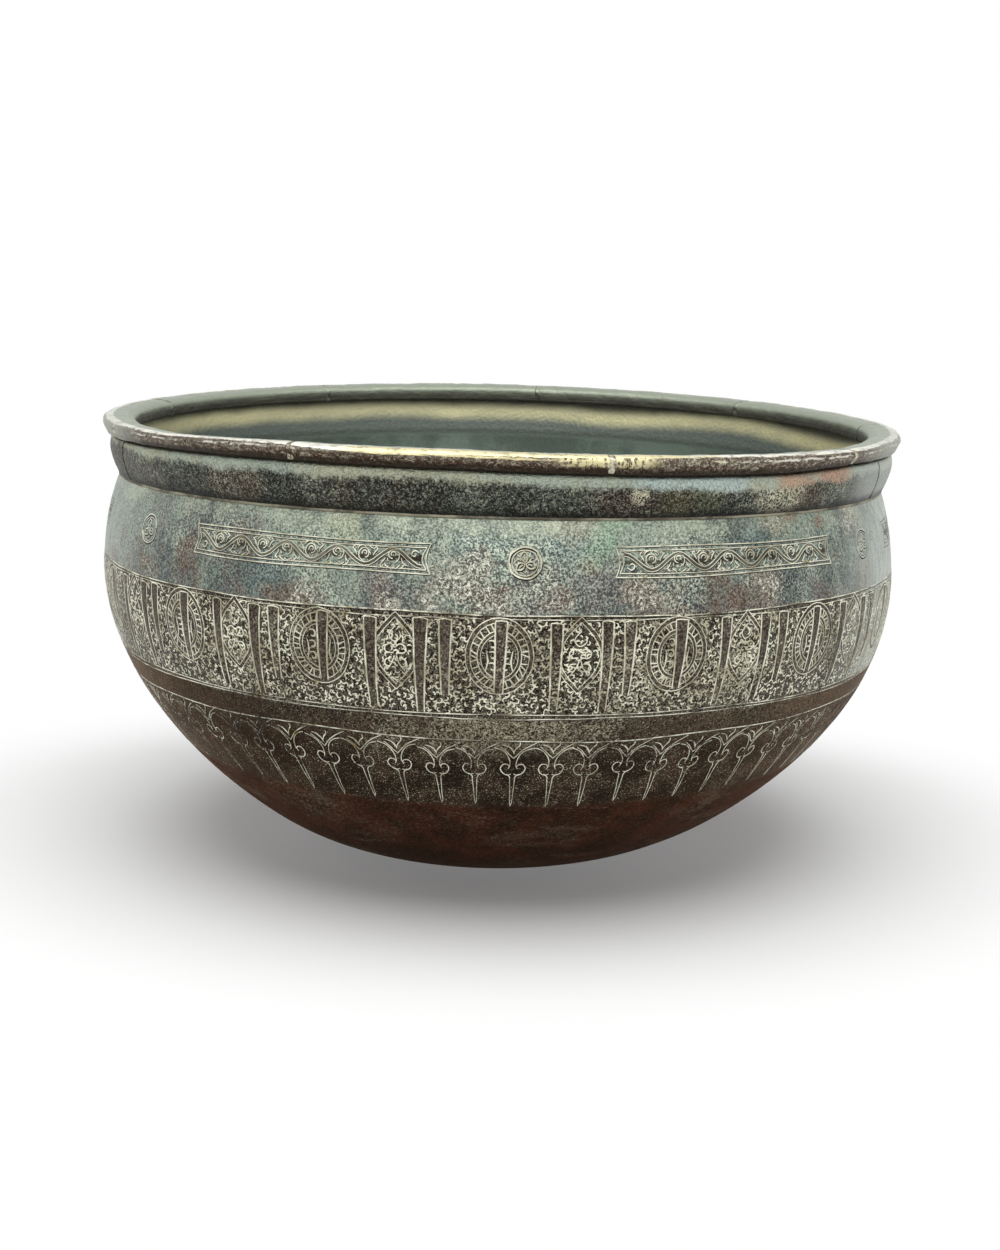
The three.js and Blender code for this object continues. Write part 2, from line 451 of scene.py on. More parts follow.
verdigris = colour(128, 158, 134)
verdigris_foot = colour(146, 142, 104)
blue_black = colour(62, 66, 76)
red_brown = colour(106, 78, 64)
warm_beige = colour(160, 152, 134)
yellow_grey = colour(156, 156, 124)
teal_grey = colour(96, 118, 120)
rust = colour(134, 88, 60)
stains = [
    (15.2, 146, 5, verdigris), (14.0, 142, 5.5, verdigris), (12.8, 138, 5.5, verdigris),
    (11.9, 134, 5, verdigris), (11.2, 131, 3.5, verdigris_foot),
    (-19.0, 144, 9, yellow_grey), (38.5, 143, 8, yellow_grey), (57.0, 143, 10, yellow_grey),
    (-1.8, 141, 12, teal_grey), (7.6, 140, 10, teal_grey), (35.0, 137, 9, teal_grey),
    (-30.0, 122, 11, teal_grey),
    (5.0, 123, 13, tarnish_purple), (12.4, 123, 12, tarnish_purple), (-14.0, 122, 9, tarnish_purple),
    (20.0, 118, 12, tarnish_brown), (27.0, 121, 12, tarnish_brown), (34.0, 119, 10, tarnish_brown),
    (40.0, 123, 9, blue_black), (40.0, 124, 6, blue_black), (53.9, 142, 6, blue_black),
    (-42.4, 139, 10, blue_black), (-42.0, 140, 6, blue_black), (25.6, 117, 5, blue_black),
    (47.0, 117, 8, red_brown), (58.0, 117, 9, red_brown), (31.3, 118, 6, red_brown),
    (-27.0, 117, 6, red_brown),
    (42.0, 144, 3.5, rust), (47.8, 141, 3, rust), (-44.0, 122, 10, red_brown), (9.0, 144, 8, warm_beige),
    (108.0, 128, 15, blue_black), (152.0, 119, 17, red_brown), (-118.0, 138, 11, verdigris),
    (-150.0, 121, 18, tarnish_brown), (196.0, 141, 12, blue_black), (84.0, 121, 14, red_brown),
]
crumbed_places = [
    (-13.0, 117, 6), (-8.0, 120, 7), (-5.0, 125, 7), (-2.1, 130, 5), (-1.0, 120, 7), (-24.0, 117, 6),
    (18.8, 123, 7), (36.5, 122, 6), (38.5, 143, 6), (56.0, 142, 7), (128.0, 122, 12), (-140.0, 124, 14),
]


def outside_finish(name, edge_tint):
    """The patina from foot to shoulder, with a painted sheen towards the sides and painted shade low on the
    right. The edge tint is the colour that the metal mirrors at a glance.
    """
    material, at = new_finish(name)
    height = at.drawn("Z")
    mottle = at.grime(38)
    patch = at.moved(0.3, 0, 0).grime(17)
    bloom = at.moved(0, 0.4, 0).grime(64)
    grain = at.noise(900, 4, 0.62, 0.5)
    crisp = at.noise(1400, 2, 0.6, 0.6)
    speck = at.noise(2100, 2, 0.5)
    worms = at.hairs(480, 0.07, 1.4)
    nicks = at.nicks(480, 0.08, 1.4)
    hairs = at.stretched(1, 1, 0.4).hairs(150, 0.012)
    dashes = at.stretched(0.5, 0.5, 1.6).noise(1500, 2, 0.5)
    streaks = at.stretched(1, 1, 0.2).noise(420, 3, 0.6).rises(0.40, 0.60)
    light = crisp.rises(0.50, 0.58)
    dark = crisp.falls(0.40, 0.48)
    # East and west grow towards the sides seen at a glance: painted sheen above, painted shade low on the
    # right.
    westward = at.along("X") * -1
    east = at.along("X").rises(0.112, 0.139)
    side = east * 0.9 + westward.rises(0.130, 0.147) * 0.65
    high_side = east * 0.95 + westward.rises(0.116, 0.150) * 0.60
    lowness = height.falls(band_top - 0.004, 0.142)
    skin = (mottle + 0.05 - lowness * 0.07).rises(0.44, 0.56).over(tin_slate, tin_grey)
    skin = (patch + lowness * 0.10).rises(0.55, 0.68).over(skin, tarnish_purple)
    skin = (bloom + lowness * 0.08).rises(0.58, 0.66).over(skin, tarnish_brown)
    for angle, level, reach, tint in stains:
        mask = at.near(on_wall(angle, level), 2 * reach * MM) + (mottle - 0.5) * 2.4 + (bloom - 0.5) * 1.6
        skin = (mask.rises(0.36, 0.86) * 0.62).over(skin, tint)
    clouds = (at.moved(0.2, 0.1, 0).grime(26) - lowness * 0.04).rises(0.46, 0.60)
    rubbed_and_shaded = at.near(on_wall(3, 128), 0.062)
    skin = ((0.22 + clouds * 0.46 + rubbed_and_shaded * 0.34) * (light * 0.95 + nicks * 0.5)).over(skin, tin_pale)
    skin = (dark * 0.65).over(skin, tarnish_and_shade_black)
    crumb_cover = at.near(on_wall(8, 121), 10 * MM)
    for angle, level, reach in crumbed_places:
        crumb_cover = at.sum("MAXIMUM", crumb_cover, at.near(on_wall(angle, level), 2.4 * reach * MM))
    crumbed = crumb_cover + (bloom - 0.5) * 2.8 + (grain - 0.5) * 1.0 - 0.2
    skin = (crumbed.rises(0.2, 0.6) * 0.45).over(skin, tarnish_brown)
    skin = (crumbed.rises(0.2, 0.8) * (nicks * 0.9 + light * 0.22)).over(skin, tin_nick)
    skin = (speck.rises(0.62, 0.70) * (mottle + patch).rises(0.94, 1.10)).over(skin, tin_nick)
    under_collar = (height + (mottle - 0.5) * 0.006).rises(0.1375, 0.1430)
    skin = (under_collar * (0.06 + clouds * 0.46 + rubbed_and_shaded * 0.30)).over(skin, neck_pale)
    # Painted sheen: the shoulder is painted pale grey towards both sides, most on the right.
    skin = (high_side * (0.60 + streaks * 0.40)).over(skin, painted_side_sheen)
    band = mottle.rises(0.42, 0.6).over(band_brown, band_grey)
    haze = (grain * 0.5 + bloom * 0.8 + patch * 0.5).rises(0.88, 1.06)
    band = ((0.12 + haze * 0.6) * (worms + light * 0.8)).over(band, chalk)
    band = (dark * 0.9).over(band, pit_black)
    band = (speck.rises(0.63, 0.70) * 0.8).over(band, tin_nick)
    # Painted sheen: the band is painted pale grey towards both sides as well.
    band = (side * (0.5 + streaks * 0.5)).over(band, painted_side_sheen)
    plain = bloom.rises(0.42, 0.62).over(plain_brown, soot_and_shade_brown)
    plain = ((grain + patch * 0.7).rises(0.88, 1.04) * 0.5).over(plain, dust)
    soot = bloom.rises(0.45, 0.62).over(soot_and_shade_brown, plain_brown)
    soot = ((grain * 0.8 + mottle * 0.6).rises(0.76, 0.92) * 0.3).over(soot, dust)
    soot = (speck.rises(0.60, 0.68) * (0.3 + bloom.rises(0.43, 0.53) * 0.7)).over(soot, chalk)
    soot = (dark * 0.4).over(soot, pit_black)
    crust = at.near(on_wall(2, 76), 0.075) * 0.27 + bloom * 0.5 + mottle * 0.5 + (grain - 0.5) * 0.5
    crust = crust.rises(0.62, 0.76)
    plain = (crust * 0.2).over(plain, crust_ochre)
    plain = ((0.06 + crust * 0.42) * (light * 0.7 + worms)).over(plain, chalk)
    plain = (dark * 0.92).over(plain, pit_black)
    plain = (speck.rises(0.63, 0.70) * 0.6).over(plain, chalk)
    smudge = at.stretched(1, 1, 3.4).grime(30)
    fire = bloom.rises(0.38, 0.62).over(fire_brown, fire_red)
    fire = (smudge.rises(0.53, 0.66) * 0.75).over(fire, fire_smudge)
    fire = ((grain * 0.7 + patch + height * 4).rises(1.12, 1.26) * 0.6).over(fire, dust)
    fire = (light * (0.10 + smudge.rises(0.50, 0.62) * 0.3)).over(fire, dust)
    fire = (dashes.rises(0.58, 0.66) * (0.35 + smudge.rises(0.48, 0.60) * 0.65)).over(fire, dust)
    fire = (at.near(on_wall(-33, 43), 0.030).rises(0.1, 0.6) * nicks * 0.9).over(fire, dust)
    # Darker towards the floor.
    fire = (height.falls(0.002, 0.028) * 0.5).over(fire, fire_and_shade_dark)
    # Painted shade: besides its small dark pits, the bottom is painted darker on the right side.
    fire = (dark * 0.4 + east * 0.62).over(fire, fire_and_shade_dark)
    fire = (speck.rises(0.64, 0.70) * 0.5).over(fire, dust)
    wander = (patch - 0.5) * 0.016 + (bloom - 0.5) * 0.010
    whole = (height + wander).rises(0.062, 0.076).over(soot, plain)
    # Painted shade: the wall below the bands is painted darker on the right side and in a patch low at the
    # left front.
    shaded = at.near(on_wall(-42, 66), 0.050).rises(0.0, 0.6)
    whole = (east * 0.72 + shaded * 0.42).over(whole, soot_and_shade_brown)
    whole = (height + wander * 0.2).rises(band_bottom - 0.0008, band_bottom + 0.0004).over(whole, band)
    whole = (height + wander * 0.1).rises(band_top - 0.0004, band_top + 0.0006).over(whole, skin)
    whole = (height + wander * 0.3).rises(fire_line - 0.0014, fire_line + 0.0012).over(fire, whole)
    # Painted light: the neck above the ledge, seen only in the groove under the lip, is a lighter brown that
    # lifts the groove's shadow.
    whole = height.rises(neck_height + 0.0002, neck_height + 0.0008).over(whole, neck_painted_fill)
    above_fire = height.rises(fire_line - 0.003, fire_line + 0.001)
    whole = (grain.falls(0.34, 0.46) * (0.15 + 0.25 * above_fire)).over(whole, soot_and_shade_brown)
    whole = (hairs * above_fire * patch.rises(0.46, 0.58) * 0.3).over(whole, dust)
    gloss = 0.60 - 0.15 * above_fire + (grain - 0.5) * 0.3
    relief = grain * 0.4 + crisp * 0.4 + bloom * 0.2
    close_finish(at, whole, gloss, 1.0, relief, 0.0005, edge_tint)
    return material


edge_brown = (0.84, 0.70, 0.61)
body_upper = outside_finish("raised_body_tinned", (1.0, 1.0, 1.0))
body_lower = outside_finish("raised_body_fired", edge_brown)

inside_lit_low = colour(178, 188, 180)
inside_shaded_high = colour(114, 123, 118)
inside_cloud = colour(120, 128, 124)
inside_pale_and_sheen = colour(226, 220, 178)
inside_shade = colour(92, 90, 80)
# Painted inside: lit paler below the neck, shaded above, a pale band of painted reflection, and shade under
# the lip.
body_inside, at = new_finish("raised_body_inside")
cloud = at.grime(20)
grain = at.noise(700, 4, 0.6)
drift = at.noise(14, 3, 0.5)
height = at.drawn("Z")
level = height + (drift - 0.5) * 0.008 + (cloud - 0.5) * 0.003
whole = height.rises(0.1434, 0.1462).over(inside_lit_low, inside_shaded_high)
whole = (cloud.falls(0.42, 0.60) * height.falls(0.143, 0.147) * 0.7).over(whole, inside_cloud)
whole = (grain.rises(0.4, 0.7) * 0.06).over(whole, inside_pale_and_sheen)
whole = (level.rises(0.1492, 0.1540) * (0.92 + (cloud - 0.5) * 1.2)).over(whole, inside_pale_and_sheen)
whole = level.rises(0.1548, 0.1592).over(whole, inside_shade)
close_finish(at, whole, 0.5 + (grain - 0.5) * 0.2, 1.0, grain, 0.00025)

for material in (body_upper, body_lower, body_inside):
    body.data.materials.append(material)
for face in body.data.polygons:
    outward = face.normal.x * face.center.x + face.normal.y * face.center.y
    if outward < 0 or (face.normal.z > 0.9 and face.center.z < neck_height / 2):
        face.material_index = 2
    elif face.center.z < band_bottom:
        face.material_index = 1
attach(body, "root")
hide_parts("bowl_body")

# Bead of solder under the collar
# Soft solder that has run out from behind the collar and lies in the corner between its foot and the
# shoulder. It is a thin uneven line, dulled to the tan of the dirt beside it.
bead_section_steps = 10
bead_width_share = 0.6
bead_height_share = 0.28
bead_lumps = [(0.2 * MM, 6 * MM)]


def lump(piece, strength, size):
    """Moves a piece's surface in and out along its normals, in lumps of a size, and applies it."""
    texture = bpy.data.textures.new(piece.name + "_lumps", "CLOUDS")
    texture.noise_scale = size
    texture.noise_depth = 3
    modifier = piece.modifiers.new("lumps", "DISPLACE")
    modifier.texture = texture
    modifier.strength = strength
    modifier.mid_level = 0.5
    bpy.context.view_layer.objects.active = piece
    bpy.ops.object.modifier_apply(modifier=modifier.name)


def finish_piece(piece, finish, node, lumps, sharpest):
    """Lumps and knocks a drawn piece, smooths it up to an angle, and puts it in its CAD node's place."""
    keep_drawn_places(piece)
    for strength, size in lumps:
        lump(piece, strength, size)
    set_points(piece, knock(get_points(piece)))
    bpy.ops.object.shade_smooth_by_angle(angle=math.radians(sharpest))
    piece.data.materials.append(finish)
    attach(piece, "root")
    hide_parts(node)


def oval(u, v, half_width, half_height, steps=28):
    """Points round an oval."""
    turns = [2 * math.pi * step / steps for step in range(steps)]
    return [(u + half_width * math.cos(turn), v + half_height * math.sin(turn)) for turn in turns]


bead_low, bead_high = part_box("collar_solder_bead")
bead_reach = bead_width_share * (bead_high.x - neck_ledge_radius)
bead_half_height = bead_height_share * (bead_high.z - bead_low.z)
bead = section_ring("collar_bead", oval(
    neck_ledge_radius + 0.3 * bead_reach, bead_high.z - bead_half_height,
    0.62 * bead_reach, bead_half_height, bead_section_steps,
))
spin_section(bead, turn_steps)

bead_tan = colour(160, 155, 134)
bead_dark = colour(92, 86, 74)
bead_grey = colour(150, 150, 134)
bead_finish, at = new_finish("tarnished_bead")
grain = at.noise(600, 4, 0.6)
whole = at.noise(60, 4, 0.6).rises(0.4, 0.6).over(bead_tan, bead_dark)
whole = (at.noise(140, 3, 0.5).rises(0.55, 0.7) * 0.7).over(whole, bead_grey)
close_finish(at, whole, 0.6, 0.8, grain, 0.0002)
finish_piece(bead, bead_finish, "collar_solder_bead", bead_lumps, 60)

# Collar
# A half-round moulding bent round the neck in three strips and soldered there, thickest near its top. Its
# face is black and pitted like old leather, with a paler band along the top. It is painted paler towards the
# right as a sheen, and darker at its foot as shade.
collar_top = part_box("collar_strip_front")[1].z
collar_bulge = 3.4 * MM
collar_swell = 6 * MM
collar_shoulder = 3 * MM
collar_top_thickness = 1 * MM
seat_gap = 0.25 * MM
seam_angles = [65, 195, 295]
seam_gap = 1.4 * MM
collar_face_steps = 14
collar_step_angle = 0.6
collar_pits = [(0.35 * MM, 5 * MM)]
neck_flare = (sheet_edge_radius - neck_radius) / (sheet_edge_height - neck_height)


def neck_face(height):
    """Radius of the neck's outer face at a height."""
    return neck_radius + neck_flare * (height - neck_height)


def collar_section(recess):
    """The collar's section, from its back foot out and up over its face and down its back."""
    swell = neck_ledge_radius + collar_bulge - recess
    back_foot = (neck_face(collar_bottom) + seat_gap, collar_bottom)
    back_top = (neck_face(collar_top) + seat_gap, collar_top)
    foot = (neck_ledge_radius - recess, collar_bottom)
    fullest = (swell, collar_top - collar_shoulder)
    over_top = (back_top[0] + collar_top_thickness, collar_top)
    return (
        [foot] + curve_through([foot, (swell, collar_bottom + collar_swell), fullest], collar_face_steps)
        + curve_through([fullest, (swell, collar_top), over_top], collar_face_steps)
        + [back_top] + curve_through([back_top, back_foot], collar_face_steps)
    )


def arc_piece(name, places, from_angle, to_angle, gap, radius, step_angle):
    """Part of a ring between two joints, short of each by half its gap, with angles in degrees."""
    short = math.degrees(gap / 2 / radius)
    steps = max(2, round((to_angle - from_angle - 2 * short) / step_angle))
    piece = section_ring(name, places)
    spin_section(piece, steps, math.radians(from_angle + short), math.radians(to_angle - short))
    return piece


collar_black_and_shade = colour(38, 39, 37)
collar_grey = colour(74, 80, 74)
collar_brown = colour(76, 58, 49)
collar_green = colour(80, 84, 62)
collar_worm = colour(204, 208, 186)
collar_pale = colour(178, 188, 173)
collar_yellow = colour(184, 186, 162)
collar_turquoise = colour(190, 205, 198)
collar_copper = colour(192, 162, 138)
collar_painted_sheen = colour(186, 191, 184)
collar_maroon = colour(62, 44, 42)
collar_ochre = colour(84, 76, 52)
collar_ink = colour(34, 37, 44)
collar_stains = [
    (16.0, 149, 14, collar_maroon), (23.0, 152, 9, collar_ochre), (27.5, 151, 8, collar_green),
    (31.0, 147, 8, collar_ink), (44.0, 151, 10, collar_brown), (-36.0, 151, 14, collar_brown),
    (100.0, 150, 12, collar_green), (140.0, 150, 14, collar_brown), (-120.0, 149, 14, collar_maroon),
]


def on_collar(angle, height):
    """A place on the collar's face at an angle in degrees and a height in millimetres."""
    return place_at(neck_ledge_radius + collar_bulge, angle, height * MM)


collar_finish, at = new_finish("pitted_collar")
height = at.drawn("Z")
cloud = at.grime(32)
patch = at.moved(0, 0.2, 0).grime(15)
grain = at.noise(760, 4, 0.62, 0.6)
crisp = at.noise(1400, 2, 0.6, 0.8)
worms = at.hairs(460, 0.07, 1.6)
nicks = at.nicks(460, 0.08, 1.6)
whole = (cloud * 0.7 + grain * 0.3).rises(0.42, 0.58).over(collar_black_and_shade, collar_grey)
whole = (patch.rises(0.5, 0.6) * 0.45).over(whole, collar_brown)
for angle, level, reach, tint in collar_stains:
    mask = at.near(on_collar(angle, level), 2 * reach * MM) + (cloud - 0.5) * 2.4
    whole = (mask.rises(0.36, 0.80) * 0.8).over(whole, tint)
whole = ((0.16 + cloud.rises(0.46, 0.62) * 0.5) * nicks).over(whole, collar_worm)
whole = (crisp.rises(0.54, 0.62) * 0.30).over(whole, collar_worm)
whole = (crisp.falls(0.40, 0.48) * 0.8).over(whole, collar_black_and_shade)
whole = (at.noise(2100, 2, 0.5).rises(0.62, 0.70) * cloud.rises(0.44, 0.54) * 0.9).over(whole, chalk)
crusted = at.near(on_collar(39, 152), 0.020) + at.near(on_collar(17.5, 153), 0.006)
whole = (crusted.rises(0.2, 0.8) * (worms + crisp.rises(0.5, 0.58) * 0.6)).over(whole, chalk)
# A paler band along the collar's top, turquoise and coppery in places.
streak = height + (cloud - 0.5) * 0.010 + (grain - 0.5) * 0.005 + at.near(on_collar(30, 157), 0.075) * 0.0010
streak = streak - at.near(on_collar(-68, 157), 0.050).rises(0.1, 0.6) * 0.0022
pale_top = streak.rises(collar_top - 0.0044, collar_top - 0.0020)
pale = patch.rises(0.45, 0.56).over(collar_pale, collar_yellow)
pale = at.near(on_collar(25, 157), 0.036).rises(0.2, 0.6).over(pale, collar_turquoise)
coppery = at.near(on_collar(46, 157), 0.036).rises(0.2, 0.6) * cloud.rises(0.44, 0.52)
pale = coppery.over(pale, collar_copper)
whole = (pale_top * (0.60 + crisp.rises(0.42, 0.54) * 0.40)).over(whole, pale)
# Painted sheen: the collar is painted pale grey towards the right.
collar_sheen_mask = at.along("X").rises(0.114, 0.129)
whole = (collar_sheen_mask * (0.32 + grain * 0.6)).over(whole, collar_painted_sheen)
# Painted shade: the collar's foot, turning in towards the shoulder, is painted black.
foot = (height + (grain - 0.5) * 0.002).falls(collar_bottom + 0.0006, collar_bottom + 0.0042)
whole = (foot * 0.8).over(whole, collar_black_and_shade)
close_finish(at, whole, 0.5 + (grain - 0.5) * 0.3, 1.0, crisp * 0.5 + grain * 0.5, 0.0009)

strip_places = ["back_right", "back_left", "front"]
strip_ends = seam_angles[1:] + [seam_angles[0] + 360]
for place, start, end in zip(strip_places, seam_angles, strip_ends):
    strip = arc_piece(
        f"collar_moulding_{place}", collar_section(0), start, end, seam_gap, neck_ledge_radius,
        collar_step_angle,
    )
    finish_piece(strip, collar_finish, f"collar_strip_{place}", collar_pits, 50)

# Solder in the collar's seams
# Soft solder fills each butt joint of the collar, filed down a little below the face.
solder_recess = 0.45 * MM
seam_lumps = [(0.3 * MM, 2 * MM)]
solder_grey = colour(150, 152, 146)
solder_dark = colour(78, 78, 74)
solder_finish, at = new_finish("soft_solder")
grain = at.noise(500, 4, 0.6)
whole = at.noise(160, 4, 0.6).rises(0.42, 0.6).over(solder_grey, solder_dark)
close_finish(at, whole, 0.55 + (grain - 0.5) * 0.3, 0.9, grain, 0.0003)
for index, angle in enumerate(seam_angles):
    half_turn = math.degrees((seam_gap / 2 - seat_gap / 4) / neck_ledge_radius)
    fill = arc_piece(
        f"collar_seam_{index + 1}", collar_section(solder_recess), angle - half_turn, angle + half_turn, 0,
        neck_ledge_radius, collar_step_angle / 4,
    )
    finish_piece(fill, solder_finish, f"collar_seam_solder_{index + 1}", seam_lumps, 50)

# Lip
# A heavy brass bar caps the edge of the sheet, channelled below to sit on it and made in nine curved
# lengths. Hands have worn the crown bright in two lines, which carry a painted highlight, and the face below
# is brown, dented and streaked. The face is painted paler towards both sides as a sheen, and darker along
# its foot and on the inner face as shade.
lip_outer = 150 * MM
lip_inner = 138.2 * MM
lip_channel_depth = 2 * MM
lip_face_slant = 1.8 * MM
lip_ridge_inset = 3 * MM
lip_outer_drop = 3 * MM
lip_inner_drop = 2.8 * MM
lip_foot_round = 0.8 * MM
lip_bar_count = 9
first_joint_angle = 13.5
lip_joint_gap = 2 * MM
lip_step_angle = 0.4
lip_curve_steps = 9
lip_lumps = [(0.7 * MM, 9 * MM), (0.35 * MM, 2.5 * MM)]


def lip_section(recess):
    """The lip's section, from its outer face's foot over the crown, down inside and through the channel."""
    outer = lip_outer - recess
    inner = lip_inner + recess
    top = lip_top - recess
    ridge = (lip_outer - lip_ridge_inset, top)
    channel_top = lip_underside + lip_channel_depth
    face_foot = (outer - lip_face_slant, lip_underside)
    face_top = (outer, top - lip_outer_drop)
    inner_top = (inner, top - lip_inner_drop)
    inner_foot = (inner, lip_underside + lip_foot_round)
    mouth_outer = (neck_face(lip_underside) + seat_gap, lip_underside)
    mouth_inner = (neck_face(lip_underside) - wall - seat_gap, lip_underside)
    channel_outer = (neck_face(channel_top) + seat_gap, channel_top)
    channel_inner = (neck_face(channel_top) - wall - seat_gap, channel_top)
    crown = curve_through([face_top, (outer, top), ridge], lip_curve_steps)
    crown += curve_through([ridge, (inner, top), inner_top], lip_curve_steps)
    return (
        [face_foot] + curve_through([face_foot, face_top], lip_curve_steps) + crown
        + curve_through([inner_top, inner_foot], lip_curve_steps)
        + curve_through([inner_foot, (inner, lip_underside), (inner + lip_foot_round, lip_underside)], 4)
        + [mouth_inner, channel_inner, channel_outer, mouth_outer]
    )


lip_brown = colour(102, 86, 74)
lip_red = colour(92, 68, 56)
lip_dark_and_shade = colour(46, 38, 32)
lip_crumb = colour(214, 210, 186)
lip_grey = colour(104, 98, 87)
lip_brass = colour(226, 216, 170)
lip_silver = colour(238, 236, 224)
lip_inner_lit = colour(150, 157, 141)
lip_painted_sheen = colour(190, 195, 184)
lip_inner_shade = colour(84, 82, 74)


def on_lip(angle):
    """The place on the lip's crown at an angle in degrees."""
    return place_at(lip_outer, angle, lip_top)


lip_finish, at = new_finish("worn_brass_lip")
height = at.drawn("Z")
across = at.drawn("X")
cloud = at.grime(40)
patch = at.moved(0.2, 0, 0).grime(18)
grain = at.noise(800, 4, 0.62, 0.6)
crisp = at.noise(1400, 2, 0.6, 0.8)
streaks = at.stretched(0.3, 0.3, 1.5).noise(700, 5, 0.62, 0.8)
nicks = at.stretched(0.7, 0.7, 1).nicks(460, 0.10, 1.6)
strokes = at.stretched(1, 1, 0.3).noise(800, 3, 0.6, 0.4)
sway = (streaks - 0.5) * 0.0014 + (cloud - 0.5) * 0.003
level = height + sway
upper = level.rises(lip_top - 0.0042, lip_top - 0.0030)
face = streaks.rises(0.42, 0.56).over(lip_brown, lip_red)
face = (upper * 0.5).over(face, lip_grey)
crusted = (at.near(on_lip(32), 0.080) * 0.5 + patch).rises(0.50, 0.66)
face = (upper * (0.26 + crusted * 0.26) * (nicks + crisp.rises(0.54, 0.60) * 0.6)).over(face, lip_crumb)
face = ((1 - upper) * (nicks * 0.6 + crisp.rises(0.58, 0.64) * 0.4)).over(face, lip_crumb)
face = (crisp.falls(0.40, 0.48) * 0.6).over(face, lip_dark_and_shade)
# The crown's pale lines are worn metal with a painted highlight on them, near white at the very top.
bright = (patch * 0.4 + at.near(on_lip(4), 0.085) * 0.35).rises(0.22, 0.32).over(lip_silver, lip_brass)
smeared = at.near(on_lip(13), 0.026).rises(0.1, 0.7)
smeared = smeared * level.rises(lip_top - 0.0050, lip_top - 0.0038) * strokes.rises(0.42, 0.52)
face = smeared.over(face, bright)
second = level.rises(lip_top - 0.0026, lip_top - 0.0022) * level.falls(lip_top - 0.0018, lip_top - 0.0014)
face = (second * (patch + streaks * 0.5).rises(0.74, 0.82) * 0.8).over(face, bright)
crown_width = 0.0005 + at.near(on_lip(-9), 0.095) * 0.0010 + at.near(on_lip(-15), 0.030) * 0.0012
crown = (height + sway * 0.6 + crown_width - lip_top).rises(-0.0001, 0.0001)
face = (crown * (0.45 + streaks.rises(0.38, 0.52) * 0.55)).over(face, bright)
# Painted shade: the face is painted dark along its foot, over the groove.
low = (height + sway * 0.5).falls(lip_underside + 0.0010, lip_underside + 0.0030)
face = (low * 0.85).over(face, lip_dark_and_shade)
# Painted shade: the inner face is painted dark below and paler towards the crown.
rubbed_and_shaded = height.rises(lip_top - 0.0054, lip_top - 0.0012).over(lip_inner_shade, lip_inner_lit)
rubbed_and_shaded = (grain.falls(0.3, 0.44) * 0.3).over(rubbed_and_shaded, lip_inner_shade)
inward = (across + sway * 0.4).falls(0.1458, 0.1466)
# Painted sheen: the lip's face is painted pale grey towards both sides.
lip_sheen_mask = abs(at.along("X")).rises(0.118, 0.140)
face = (lip_sheen_mask * (0.36 + streaks * 0.44)).over(face, lip_painted_sheen)
whole = inward.over(face, rubbed_and_shaded)
gloss = 0.50 - 0.12 * crown + (grain - 0.5) * 0.25
close_finish(at, whole, gloss, 1.0, crisp * 0.3 + grain * 0.3 + streaks * 0.4, 0.0006)

lip_bar_angle = 360 / lip_bar_count
for bar in range(lip_bar_count):
    start = first_joint_angle + bar * lip_bar_angle
    length = arc_piece(
        f"lip_length_{bar + 1}", lip_section(0), start, start + lip_bar_angle, lip_joint_gap, lip_outer,
        lip_step_angle,
    )
    finish_piece(length, lip_finish, f"lip_bar_{bar + 1}", lip_lumps, 50)

# Solder in the lip's joints
# Grey solder fills the gap between two bars of the lip and stands in small lumps on its crown.
joint_lumps = [(0.9 * MM, 3 * MM)]
joint_clearance = 0.1 * MM
joint_finish, at = new_finish("filed_joint_solder")
grain = at.noise(700, 4, 0.6)
whole = at.grime(180).rises(0.44, 0.56).over(lip_crumb, lip_brown)
whole = (grain.falls(0.34, 0.5) * 0.8).over(whole, lip_dark_and_shade)
inward = at.drawn("X").falls(0.1440, 0.1466)
# Painted shade: the joint's inner face is painted like the bars', dark below and paler towards the crown.
inner_face = at.drawn("Z").rises(lip_top - 0.0040, lip_top - 0.0018).over(lip_inner_shade, lip_inner_lit)
whole = (inward * 0.85).over(whole, inner_face)
close_finish(at, whole, 0.5, 0.95, grain, 0.0005)
for bar in range(lip_bar_count):
    middle = first_joint_angle + bar * lip_bar_angle
    half_turn = math.degrees((lip_joint_gap / 2 + joint_clearance) / lip_outer)
    fill = arc_piece(
        f"lip_joint_{bar + 1}", lip_section(solder_recess / 3), middle - half_turn, middle + half_turn, 0,
        lip_outer, lip_step_angle / 4,
    )
    finish_piece(fill, joint_finish, f"lip_joint_solder_{bar + 1}", joint_lumps, 60)

# Engraving: the arcade
# Below the belly runs a row of small round-shouldered arches, each line cut with a graver and filled with
# pale chalky dirt. Every arch springs from a pair of curls, with a tapering double stem under each pair.
line_flatness = 0.25
line_width = 0.48
line_lift = 0.02
cut_shadow_shift = (0.12, -0.26)
hand_wobble = 0.16
wobble_pace = 0.35
wobble_seed = 11
noise.seed_set(wobble_seed)


